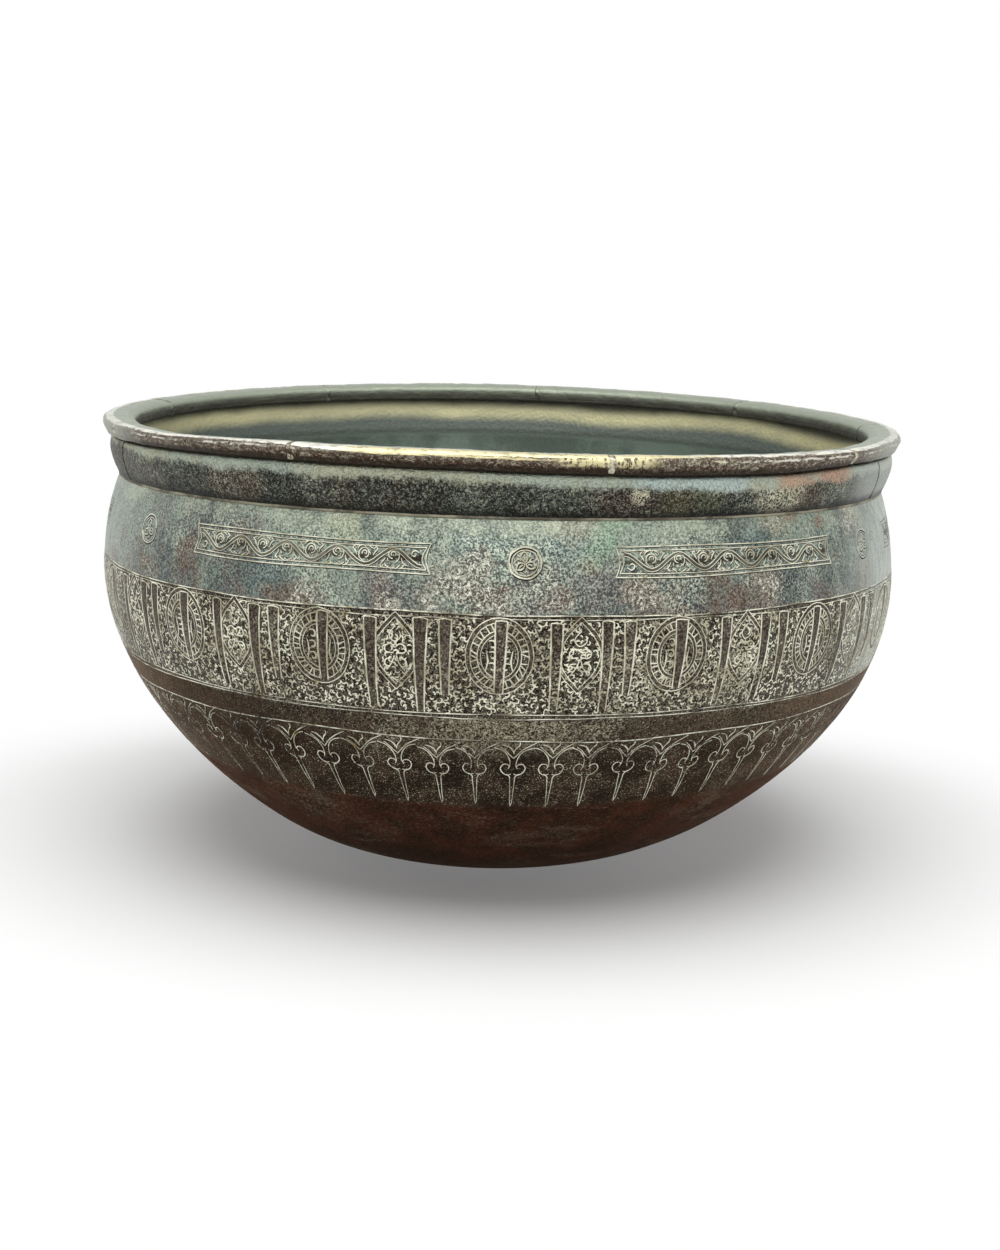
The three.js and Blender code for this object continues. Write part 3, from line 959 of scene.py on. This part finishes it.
class Drawing:
    """Cuts drawn flat in millimetres: u runs right round the bowl from its front, and v is the height."""

    def __init__(self, name, width=line_width, roundness=0):
        self.curve = bpy.data.curves.new(name, "CURVE")
        self.curve.dimensions = "3D"
        self.curve.bevel_depth = width / 2
        self.curve.bevel_resolution = roundness
        self.curve.use_fill_caps = True

    def cut(self, points, weights=(1.0,), between=3, closed=False):
        """Adds one cut that runs smoothly through some points, its weight easing along the weights."""
        path = eased(points, between, closed)
        spline = self.curve.splines.new("POLY")
        spline.points.add(len(path) - 1)
        spline.use_cyclic_u = closed
        for index, (point, (u, v)) in enumerate(zip(spline.points, path)):
            off = noise.noise_vector(Vector((u, v, 0)) * wobble_pace) * hand_wobble
            point.co = (u + off.x, v + off.y, 0, 1)
            share = index / (len(path) - 1) * (len(weights) - 1)
            low = min(int(share), len(weights) - 2) if len(weights) > 1 else 0
            high = min(low + 1, len(weights) - 1)
            point.radius = weights[low] + (weights[high] - weights[low]) * (share - low)

    def laid(self, reference_radius, flatness=line_flatness, lift=line_lift, shift=(0.0, 0.0), name=None):
        """Makes the drawing a mesh laid on the wall: u becomes a turn, v a height, and w stands off it."""
        piece = bpy.data.objects.new(name or self.curve.name, self.curve)
        bpy.context.collection.objects.link(piece)
        bpy.ops.object.select_all(action="DESELECT")
        piece.select_set(True)
        bpy.context.view_layer.objects.active = piece
        bpy.ops.object.convert(target="MESH")
        piece = bpy.context.active_object
        u, v, w = get_points(piece).T
        turn = (u + shift[0]) / reference_radius
        height = (v + shift[1]) * MM
        slope = np.interp(height, wall_heights, wall_slopes)
        out = (w * flatness + lift) * MM / np.sqrt(1 + slope ** 2)
        radius = np.interp(height, wall_heights, wall_radii) + out
        places = np.stack([radius * np.sin(turn), -radius * np.cos(turn), height - out * slope], axis=1)
        set_points(piece, knock(places))
        bpy.ops.object.shade_smooth()
        return piece


def eased(points, between, closed=False):
    """A smooth path through some points, with some steps between each two."""
    count = len(points)
    if between < 2 or count < 3:
        return list(points)
    path = []
    for index in range(count if closed else count - 1):
        near = [index + shift for shift in (-1, 0, 1, 2)]
        a, b, c, d = (points[i % count if closed else min(max(i, 0), count - 1)] for i in near)
        for step in range(between):
            t = step / between
            path.append(tuple(
                b[i] + 0.5 * t * (c[i] - a[i] + t * (2 * a[i] - 5 * b[i] + 4 * c[i] - d[i]
                + t * (3 * (b[i] - c[i]) + d[i] - a[i])))
                for i in (0, 1)
            ))
    return path if closed else path + [points[-1]]


def placed(points, u, v, flip=1, size=1.0):
    """A motif's points moved to a place, and mirrored where flip is -1."""
    return [(u + flip * size * x, v + size * y) for x, y in points]


def finish_engraving(piece, finish):
    """Gives an engraved piece its finish and its place on the body."""
    piece.data.materials.append(finish)
    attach(piece, "root")


def engrave(drawing, radius, finish, cut_shadow_name):
    """Lays a drawing twice: first a dark copy a little to the right and below, a painted shadow along the
    cut, and then the cut filled with dirt.
    """
    finish_engraving(drawing.laid(radius, line_flatness, 0.0, cut_shadow_shift, cut_shadow_name), cut_shadow_finish)
    finish_engraving(drawing.laid(radius), finish)


def chalk_finish(name, light, dull, under, worn, worn_east=0.0, worn_west=0.0, west_start=0.108):
    """Pale dirt that fills cuts, worn thin in places. The more it is worn, the more metal shows."""
    material, at = new_finish(name)
    grain = at.noise(1100, 3, 0.6)
    rubbed_and_shaded = at.grime(30) + (grain - 0.5) * 0.6 + at.along("X").rises(0.106, 0.126) * worn_east
    rubbed_and_shaded = rubbed_and_shaded + (at.along("X") * -1).rises(west_start, west_start + 0.012) * worn_west
    whole = at.noise(110, 4, 0.65).rises(0.38, 0.58).over(dull, light)
    whole = (at.moved(0, 0, 0.5).noise(120, 3, 0.5).rises(0.68, 0.73) * 0.8).over(whole, chalk_ochre)
    whole = (rubbed_and_shaded + worn).rises(0.46, 0.66).over(whole, under)
    whole = (grain.falls(0.36, 0.46) * 0.25).over(whole, under)
    close_finish(at, whole, 0.7, 0.7, grain, 0.0002)
    return material


chalk_light = colour(248, 247, 228)
chalk_dull = colour(196, 192, 166)
chalk_ochre = colour(176, 150, 84)
chalk_thin = colour(160, 152, 130)
arcade_chalk = chalk_finish("arcade_chalk", chalk_light, chalk_dull, plain_brown, -0.03, 0.18, 0.07, 0.070)
rule_chalk = chalk_finish("rule_chalk", chalk_light, chalk_thin, band_grey, -0.04)
band_chalk = chalk_finish("band_chalk", chalk_light, chalk_dull, band_brown, -0.15)
# On the shoulder the chalk thins towards both sides and shows the painted side sheen beneath it.
shoulder_chalk = chalk_finish("shoulder_chalk", chalk_light, chalk_dull, painted_side_sheen, -0.14, 0.28, 0.22)

arch_count = 67
arch_radius = 133.6
arch_foot = 61.2
first_node_angle = 2.4
arch_pitch = 2 * math.pi * arch_radius / arch_count
horn = [(0.5, -1.5), (1.7, -1.9), (3.2, -1.0), (3.9, 0.7), (3.1, 2.3), (1.8, 2.3), (1.1, 1.4), (1.5, 0.6)]
stem_line = [(2.1, -1.4), (1.0, -2.5), (0.75, -4.5), (0.32, -14.0)]
inner_line = [(1.0, 1.5), (1.0, 3.6), (2.0, 6.1), (3.9, 7.9), (6.1, 8.6)]
rising_line = [(0.0, 4.7), (1.2, 6.1), (2.9, 8.0), (5.3, 9.7), (8.2, 11.3)]
falling_line = [(0.0, 4.7), (-1.3, 6.1), (-2.6, 7.6), (-4.0, 8.8)]
bud_lines = [
    [(-3.4, 9.6), (-1.7, 9.1), (-0.2, 7.4), (0.1, 6.3)],
    [(0.0, 7.0), (0.7, 8.4), (1.8, 9.7), (1.6, 10.9)],
]
foot_dot = [(0.0, -13.9), (-0.05, -14.9)]
drift_width = 1.6
drift_angle = -15
drift_reach = 22
stem_lean = 2.6

arcade = Drawing("arcade", 0.36)
hand = random.Random(5)
for arch in range(arch_count):
    turn = (math.degrees(arch * arch_pitch / arch_radius) + 180) % 360 - 180
    drift = drift_width * math.exp(-((turn - drift_angle) / drift_reach) ** 2)
    u = math.radians(first_node_angle) * arch_radius + arch * arch_pitch + drift + hand.uniform(-0.35, 0.35)
    v = arch_foot + hand.uniform(-0.4, 0.4)
    size = hand.uniform(0.95, 1.05)
    lean = stem_lean * max(0.0, math.sin(2 * u / arch_radius)) / stem_line[-1][1]
    for flip in (-1, 1):
        arcade.cut(placed(horn, u, v, flip, size), (0.8, 1.1, 1.0, 0.6), 2)
        stem = placed(stem_line, u, v, flip, size)
        arcade.cut([(x + lean * (y - v), y) for x, y in stem], (0.7, 1.1, 0.8), 2)
        arcade.cut(placed(inner_line, u, v, flip, size), (0.9, 1.0, 0.8), 2)
    arcade.cut(placed(rising_line, u, v, 1, size), (1.0, 0.8), 2)
    arcade.cut(placed(falling_line, u, v, 1, size), (1.0, 0.7), 2)
    for bud in bud_lines:
        arcade.cut(placed(bud, u, v, 1, size), (0.6, 1.6, 0.7), 2)
    arcade.cut(placed(foot_dot, u + lean * foot_dot[0][1], v, 1, size), (1.5, 1.3), 1)

# Painted shadow: the dark copy of each cut stands for the shade along the cut's edge.
cut_shadow_finish, at = new_finish("dark_burr")
whole = at.noise(300, 4, 0.6).rises(0.4, 0.6).over(soot_and_shade_brown, tarnish_and_shade_black)
close_finish(at, whole, 0.6, 0.8, at.noise(900, 3, 0.6), 0.0002)
engrave(arcade, arch_radius, arcade_chalk, "arcade_burr")

# Engraving: the rules
# Plain lines that bound the bands, run round by eye, so that they waver and are cut deeper in places.
rule_steps = 260
rule_weights = 60
rule_radius = 150
rule_lines = [
    (115.5, 0.55, 0.25), (114.2, 0.34, 0.2), (82.2, 0.46, 0.2), (80.9, 0.42, 0.2), (72.8, 0.5, 0.4),
]
rules = Drawing("rules", 1.0)
for height, weight, sway in rule_lines:
    around = []
    for step in range(rule_steps):
        turn = 2 * math.pi * step / rule_steps
        off = sway * (math.sin(5 * turn + height) + 0.7 * math.sin(13 * turn + 2 * height))
        around.append((turn * rule_radius, height + off))
    rules.cut(around, [weight * hand.uniform(0.75, 1.15) for _ in range(rule_weights)], 1, closed=True)
engrave(rules, rule_radius, rule_chalk, "rules_burr")

# Engraving: the broad band
# Round the belly runs a band of ringed ovals and pointed lenses on a ground of close scrolls. Upright
# tapering staves stand before them, left in plain metal between two fine lines. It is a pattern only.
band_radius = 150
unit_count = 16
unit_width = 2 * math.pi * band_radius / unit_count
first_oval_angle = 0.5
oval_height_middle = 102.3
band_floor = 82.8
band_ceiling = 113.8
stave_places = [(1.0, 90.5), (17.6, 84.0), (34.0, 83.4), (42.3, 89.0)]
stave_top_width = 4.3
stave_foot_width = 2.4
curl_spacing = 1.85
oval_half_width = 10.7
oval_half_height = 12.6
lens_offset = 25.8
stave_steps = 7

ground = [Drawing(f"band_scrolls_{eighth + 1}") for eighth in range(8)]
rings = Drawing("band_rings", 1.0, 1)
staves = Drawing("band_staves", 2.0, 2)
edges = Drawing("band_stave_edges")


def curl(u, v, radius, start, turn, tightness=0.35, steps=5):
    """Points along a curl that winds in from its outer end."""
    points = []
    for step in range(steps + 1):
        share = step / steps
        angle = math.radians(start + turn * share)
        reach = radius * (1 - (1 - tightness) * share)
        points.append((u + reach * math.cos(angle), v + reach * math.sin(angle)))
    return points


def ringed_oval(lines, u, v, half_width, half_height):
    """A plain ring, a ladder of short cuts inside it, a second ring, and a knot of leaves in the middle."""
    for inset, weight in ((0.0, 0.9), (1.3, 0.8), (3.7, 0.9), (4.7, 0.7)):
        lines.cut(oval(u, v, half_width - inset, half_height - inset * 1.15), (weight,), 1, closed=True)
    rings.cut(oval(u, v, half_width - 0.65, half_height - 0.75), (1.35,), 1, closed=True)
    rings.cut(oval(u, v, half_width - 4.2, half_height - 4.8), (1.0,), 1, closed=True)
    rungs = 30
    for rung in range(rungs):
        turn = 2 * math.pi * (rung + hand.uniform(-0.2, 0.2)) / rungs
        lean = turn + hand.uniform(-0.08, 0.16)
        start = (u + (half_width - 1.5) * math.cos(turn), v + (half_height - 1.7) * math.sin(turn))
        end = (u + (half_width - 3.6) * math.cos(lean), v + (half_height - 4.1) * math.sin(lean))
        lines.cut([start, end], (0.9, 1.2, 0.9), 1)
    for side in (-1, 1):
        for lift in (-3.6, 0.2, 3.8):
            leaf = curl(u + side * 2.3, v + lift, 1.7, 90 - side * 40, side * 260)
            lines.cut(leaf, (0.6, 1.4, 1.5, 0.7), 2)
        lines.cut(placed([(4.4, -5.0), (3.6, -1.5), (4.2, 2.0)], u, v, side), (0.6, 1.3, 0.5), 2)
    lines.cut([(u, v - 6.6), (u - 0.7, v - 2.5), (u + 0.6, v + 1.5), (u, v + 6.4)], (0.7, 1.2, 0.7), 2)


def pointed_lens(lines, u, v, half_width, half_height):
    """A single plain ring, pulled to a point above and below, with a two-lobed leaf in it."""
    for inset, weight in ((0.0, 0.9), (1.3, 0.8)):
        width = half_width - inset
        rise = half_height - 1.3 * inset
        side = [(0, -rise), (width * 0.72, -rise * 0.5), (width, 0), (width * 0.72, rise * 0.5), (0, rise)]
        for flip in (-1, 1):
            lines.cut(placed(side, u, v, flip), (0.7, weight, weight, 0.7), 4)
    side = [
        (0, -half_height + 1), (half_width * 0.66, -half_height * 0.48), (half_width - 0.65, 0),
        (half_width * 0.66, half_height * 0.48), (0, half_height - 1),
    ]
    for flip in (-1, 1):
        rings.cut(placed(side, u, v, flip), (1.2,), 4)
        lobe = [(0, 1.2), (1.6, 2.4), (3.4, 1.4), (3.0, -0.4), (0.6, -0.6)]
        lines.cut(placed(lobe, u, v, flip), (0.9,), 3)
        lines.cut(placed(curl(2.2, -4.2, 1.9, 120, -280), u, v, flip), (0.7, 1.3, 0.7), 2)
        lines.cut(placed([(0.3, -1.6), (1.2, -4.0), (3.0, -6.5)], u, v, flip), (1.0, 0.6), 2)
    tip = [(0, 8.2), (-2.0, 5.4), (-0.4, 3.2), (1.8, 4.6), (1.4, 6.6)]
    lines.cut(placed(tip, u, v), (0.8,), 3)


rows = int((band_ceiling - band_floor) / curl_spacing)
columns = int(unit_width / curl_spacing)
for unit in range(unit_count):
    start = math.radians(first_oval_angle) * band_radius + unit * unit_width
    lines = ground[unit * len(ground) // unit_count]
    for row in range(rows + 1):
        for column in range(columns):
            u = start - 9 + (column + 0.5 * (row % 2)) * unit_width / columns + hand.uniform(-0.7, 0.7)
            v = band_floor + 0.9 + row * (band_ceiling - band_floor - 1.8) / rows + hand.uniform(-0.6, 0.6)
            if math.hypot((u - start) / oval_half_width, (v - oval_height_middle) / oval_half_height) < 1.03:
                continue
            size = hand.uniform(0.8, 1.35)
            from_angle = hand.uniform(0, 360)
            scroll = curl(u, v, size, from_angle, hand.choice((-1, 1)) * hand.uniform(90, 250), 0.35, 4)
            lines.cut(scroll, (0.5, hand.uniform(0.9, 1.7), hand.uniform(0.8, 1.3), 0.4), 1)
    ringed_oval(
        lines, start + hand.uniform(-0.4, 0.4), oval_height_middle, oval_half_width, oval_half_height,
    )
    pointed_lens(lines, start + lens_offset, oval_height_middle + 0.4, 7.9, 12.8)
    for place, foot in stave_places:
        u = start + place + hand.uniform(-0.5, 0.5)
        foot += hand.uniform(-1.0, 1.0)
        lean = hand.uniform(-0.5, 0.3)
        top_half = stave_top_width / 2 * hand.uniform(0.88, 1.1)
        foot_half = stave_foot_width / 2 * hand.uniform(0.85, 1.15)
        head = band_ceiling - hand.uniform(0.0, 0.8)
        shares = [step / stave_steps for step in range(stave_steps + 1)]
        middle = [(u + lean * share, head + (foot - head) * share) for share in shares]
        staves.cut(middle, (top_half, (top_half + foot_half) / 2, foot_half), 1)
        for side in (-1, 1):
            edge = [
                (mu + side * (top_half + (foot_half - top_half) * share), mv)
                for share, (mu, mv) in zip(shares, middle)
            ]
            edges.cut(edge, (1.0, 1.35, 0.9), 1)
        edges.cut([(u - top_half, head + 0.1), (u, head + 0.35), (u + top_half, head - 0.1)], (0.9,), 2)

plain_metal, at = new_finish("plain_band_metal")
grain = at.noise(520, 5, 0.62)
crisp = at.noise(1400, 2, 0.6, 0.6)
whole = at.grime(46).rises(0.4, 0.6).over(colour(64, 54, 48), colour(88, 79, 71))
chalked = 0.15 + (at.grime(20) + grain * 0.3).rises(0.62, 0.74) * 0.6
whole = (chalked * crisp.rises(0.50, 0.58)).over(whole, chalk)
whole = (crisp.falls(0.40, 0.48) * 0.6).over(whole, soot_and_shade_brown)
close_finish(at, whole, 0.45 + (grain - 0.5) * 0.3, 1.0, grain, 0.0003)

for lines in ground:
    finish_engraving(lines.laid(band_radius), band_chalk)
finish_engraving(rings.laid(band_radius, 0.13, 0.03), plain_metal)
finish_engraving(staves.laid(band_radius, 0.06, 0.05), plain_metal)
finish_engraving(edges.laid(band_radius, 0.25, 0.12), band_chalk)

# Engraving: the cartouches and roundels
# On the shoulder lie six long frames with hollowed ends, each filled with a winding stem and its leaves,
# and between them six small roundels with a plain three-petalled flower.
shoulder_radius = 148.3
cartouche_angles = [-25.3, 31.8, 86.0, 146.0, 206.0, 270.0]
roundel_angles = [3.4, 58.6, 113.0, 176.0, 236.0, 306.1]
cartouche_half_length = 44.5
cartouche_bottom = 127.6
cartouche_top = 137.0
bay_count = 9
frame_gap = 1.25
frame_steps = 8
end_hollow = 1.3
stem_margin = 2.6
stem_wave = 2.5
roundel_height = 132.0

vine = Drawing("cartouche_lines", 0.42)
vine_stems = Drawing("cartouche_stems", 0.8, 1)
vine_ground = Drawing("cartouche_ground", 7.4)
corner_leaves = [
    [(2.7, 0.2), (3.3, 1.5), (4.4, 2.6)], [(0.9, 3.3), (1.8, 3.0), (2.5, 2.2)],
    [(3.0, 3.2), (3.7, 2.8), (4.0, 1.9)], [(-0.4, 3.2), (0.3, 2.8)],
    [(3.0, 2.3), (3.5, 3.1)], [(2.2, 3.3), (2.9, 2.9)], [(1.6, 1.4), (1.9, 0.4)],
]


def leafy_bay(u, v, flip):
    """The hollow of one bend of the stem, with a curled leaf in it and small leaves in its corners."""
    vine.cut(placed(curl(0.0, 0.7, 2.4, 255, -340, 0.45, 8), u, v, flip), (0.7, 1.0, 1.2, 0.8), 2)
    vine.cut(placed(curl(0.1, 0.9, 1.1, 200, -250, 0.4, 5), u, v, flip), (0.7, 1.4, 0.8), 2)
    for side in (-1, 1):
        for leaf in corner_leaves:
            shaken = [(x + hand.uniform(-0.2, 0.2), y + hand.uniform(-0.2, 0.2)) for x, y in leaf]
            vine.cut([(u + side * x, v + flip * y) for x, y in shaken], (0.5, 1.3, 0.6), 2)


for angle in cartouche_angles:
    middle = math.radians(angle) * shoulder_radius
    sway = hand.uniform(0.3, 0.6)
    mid = (cartouche_bottom + cartouche_top) / 2
    for inset, weight in ((0.0, 1.0), (frame_gap, 0.8)):
        left = middle - cartouche_half_length + inset
        right = middle + cartouche_half_length - inset
        low = cartouche_bottom + inset
        high = cartouche_top - inset
        for level, bend in ((high, 0.4), (low, -0.6)):
            vine.cut([
                (left + (right - left) * step / frame_steps, level + bend * sway * math.sin(step * 0.8))
                for step in range(frame_steps + 1)
            ], (weight,), 3)
        for end, bend in ((left, end_hollow), (right, -end_hollow)):
            vine.cut([(end, high), (end + bend, mid), (end, low)], (weight,), 4)
    shares = [0.01 + 0.98 * step / 24 for step in range(25)]
    vine_ground.cut([(left + (right - left) * share, mid) for share in shares], (1.0,), 1)
    inner_left = middle - cartouche_half_length + stem_margin
    bay = 2 * (cartouche_half_length - stem_margin) / bay_count
    path = [
        (inner_left + bay * step / 6, mid + stem_wave * math.cos(math.pi * step / 6))
        for step in range(6 * bay_count + 1)
    ]
    vine_stems.cut(path, (1.1,), 1)
    for off in (-0.52, 0.52):
        side = []
        for index, (u, v) in enumerate(path):
            back = path[max(index - 1, 0)]
            ahead = path[min(index + 1, len(path) - 1)]
            long = math.hypot(ahead[0] - back[0], ahead[1] - back[1])
            side.append((u - off * (ahead[1] - back[1]) / long, v + off * (ahead[0] - back[0]) / long))
        vine.cut(side, (0.75,), 1)
    for index in range(bay_count - 1):
        leafy_bay(inner_left + bay * (index + 1), mid, 1 if index % 2 == 0 else -1)
    last_curl = curl(2.4, 1.2 if bay_count % 2 == 1 else -1.2, 1.5, 160, -300)
    vine.cut(placed(curl(2.4, -1.2, 1.5, 200, 300), inner_left, mid), (0.8, 1.5, 0.9), 2)
    vine.cut(placed(last_curl, inner_left + bay * bay_count, mid, -1), (0.8, 1.5, 0.9), 2)

scratches = [((19.5, 126.2), (22.6, 119.2)), ((16.8, 128.0), (18.4, 124.0)), ((25.0, 122.0), (26.4, 118.4))]
for scratch in scratches:
    ends = [(math.radians(angle) * shoulder_radius, height) for angle, height in scratch]
    vine.cut(ends, (0.4, 1.3, 0.5), 1)

flower_turn = 8
flower_cuts = [
    ([(0.0, 0.3), (1.0, 1.3), (0.95, 2.4), (0.0, 3.4), (-0.95, 2.4), (-1.0, 1.3)], (1.5,), 2, True),
    ([(0.0, 0.9), (0.0, 2.3)], (1.9, 1.0), 1, False),
    ([(-0.5, -3.1), (0.0, -2.5), (0.5, -3.1)], (1.1,), 1, False),
]
for angle in roundel_angles:
    u = math.radians(angle) * shoulder_radius
    for size, weight, count in ((5.1, 1.7, 17), (4.2, 0.8, 15)):
        ring = []
        for x, y in oval(0, 0, size, size * 0.96, count):
            share = hand.uniform(0.97, 1.03)
            ring.append((u + x * share, roundel_height + y * share))
        vine.cut(ring, (weight, weight * 1.2, weight * 0.8), 2, closed=True)
    for turn in (0, 120, 240):
        around = Matrix.Rotation(math.radians(turn + flower_turn), 2)
        for points, weights, between, closed in flower_cuts:
            turned = [tuple(around @ Vector(point)) for point in points]
            vine.cut(placed(turned, u, roundel_height), weights, between, closed)
stem_finish, at = new_finish("cartouche_stem_metal")
grain = at.noise(900, 4, 0.62, 0.5)
whole = at.grime(40).rises(0.42, 0.6).over(colour(88, 86, 76), colour(122, 124, 110))
whole = (grain.falls(0.34, 0.46) * 0.6).over(whole, tarnish_and_shade_black)
close_finish(at, whole, 0.5, 1.0, grain, 0.0002)
ground_finish, at = new_finish("cartouche_ground_metal")
grain = at.noise(900, 4, 0.62, 0.5)
whole = at.grime(40).rises(0.42, 0.6).over(colour(60, 57, 50), colour(98, 99, 88))
whole = (grain.rises(0.56, 0.66) * 0.6).over(whole, tin_pale)
whole = (grain.falls(0.36, 0.46) * 0.6).over(whole, soot_and_shade_brown)
close_finish(at, whole, 0.55, 1.0, grain, 0.0002)
finish_engraving(vine_ground.laid(shoulder_radius, 0.004, 0.008), ground_finish)
engrave(vine, shoulder_radius, shoulder_chalk, "cartouche_burr")
finish_engraving(vine_stems.laid(shoulder_radius, 0.1, 0.03), stem_finish)

# Floor and light
# A plain pale floor in a plain white studio, with a wide soft lamp overhead.
floor_size = 8.0
floor_white = (0.96, 0.96, 0.96)
shadow_depth = 0.94
shadow_start = 0.20
shadow_end = 0.318
foot_start = 0.05
foot_end = 0.12
foot_light = 0.13
lamp_size = 1.4
lamp_watts = 12
lamp_place = (-0.02, -0.4, 1.3)
lamp_target = (0, 0, 0.08)
sky_light = 0.62

bpy.ops.object.select_all(action="DESELECT")
bpy.ops.mesh.primitive_plane_add(size=floor_size, location=(0, 0, 0))
floor = bpy.context.active_object
floor.name = "floor"
floor_finish, at = new_finish("floor")


def seen_or_mirrored(wire):
    """1 for what the camera sees straight or in metal, and 0 for the light that falls on things."""
    seen = wire.node("LightPath", None, None, "Is Camera Ray")
    mirrored = wire.node("LightPath", None, None, "Is Glossy Ray")
    through = wire.node("LightPath", None, None, "Is Transmission Ray")
    return wire.sum("MAXIMUM", wire.sum("MAXIMUM", seen, mirrored), through)


away = at.stretched(1, 1.35, 1).length()
near_foot = away.falls(foot_start, foot_end)
# Painted light: near the foot the floor glows a little to lighten the contact shadow, and further out it
# glows white for the camera and in reflections.
whiteness = 1 - shadow_depth + near_foot * foot_light + shadow_depth * away.rises(shadow_start, shadow_end)
lit = at.node("BsdfDiffuse", None, {"Color": floor_white})
white = at.node("Emission", None, {"Color": (1.0, 1.0, 1.0), "Strength": 1.0})
at.node("MixShader", None, {0: whiteness * seen_or_mirrored(at), 1: lit, 2: white}).ends_in("OutputMaterial")
floor.data.materials.append(floor_finish)

world = bpy.data.worlds.new("studio")
world.use_nodes = True
world.node_tree.nodes.clear()
air = Wire(world.node_tree)
strength = sky_light + (1 - sky_light) * seen_or_mirrored(air)
air.node("Background", None, {"Color": (1.0, 1.0, 1.0), "Strength": strength}).ends_in("OutputWorld")
bpy.context.scene.world = world

lamp_data = bpy.data.lights.new("overhead_lamp", "AREA")
lamp_data.shape = "DISK"
lamp_data.size = lamp_size
lamp_data.energy = lamp_watts
lamp = bpy.data.objects.new("overhead_lamp", lamp_data)
bpy.context.collection.objects.link(lamp)
lamp.location = lamp_place
lamp.rotation_euler = (Vector(lamp_target) - lamp.location).to_track_quat("-Z", "Y").to_euler()

bpy.context.scene.view_settings.view_transform = "Standard"
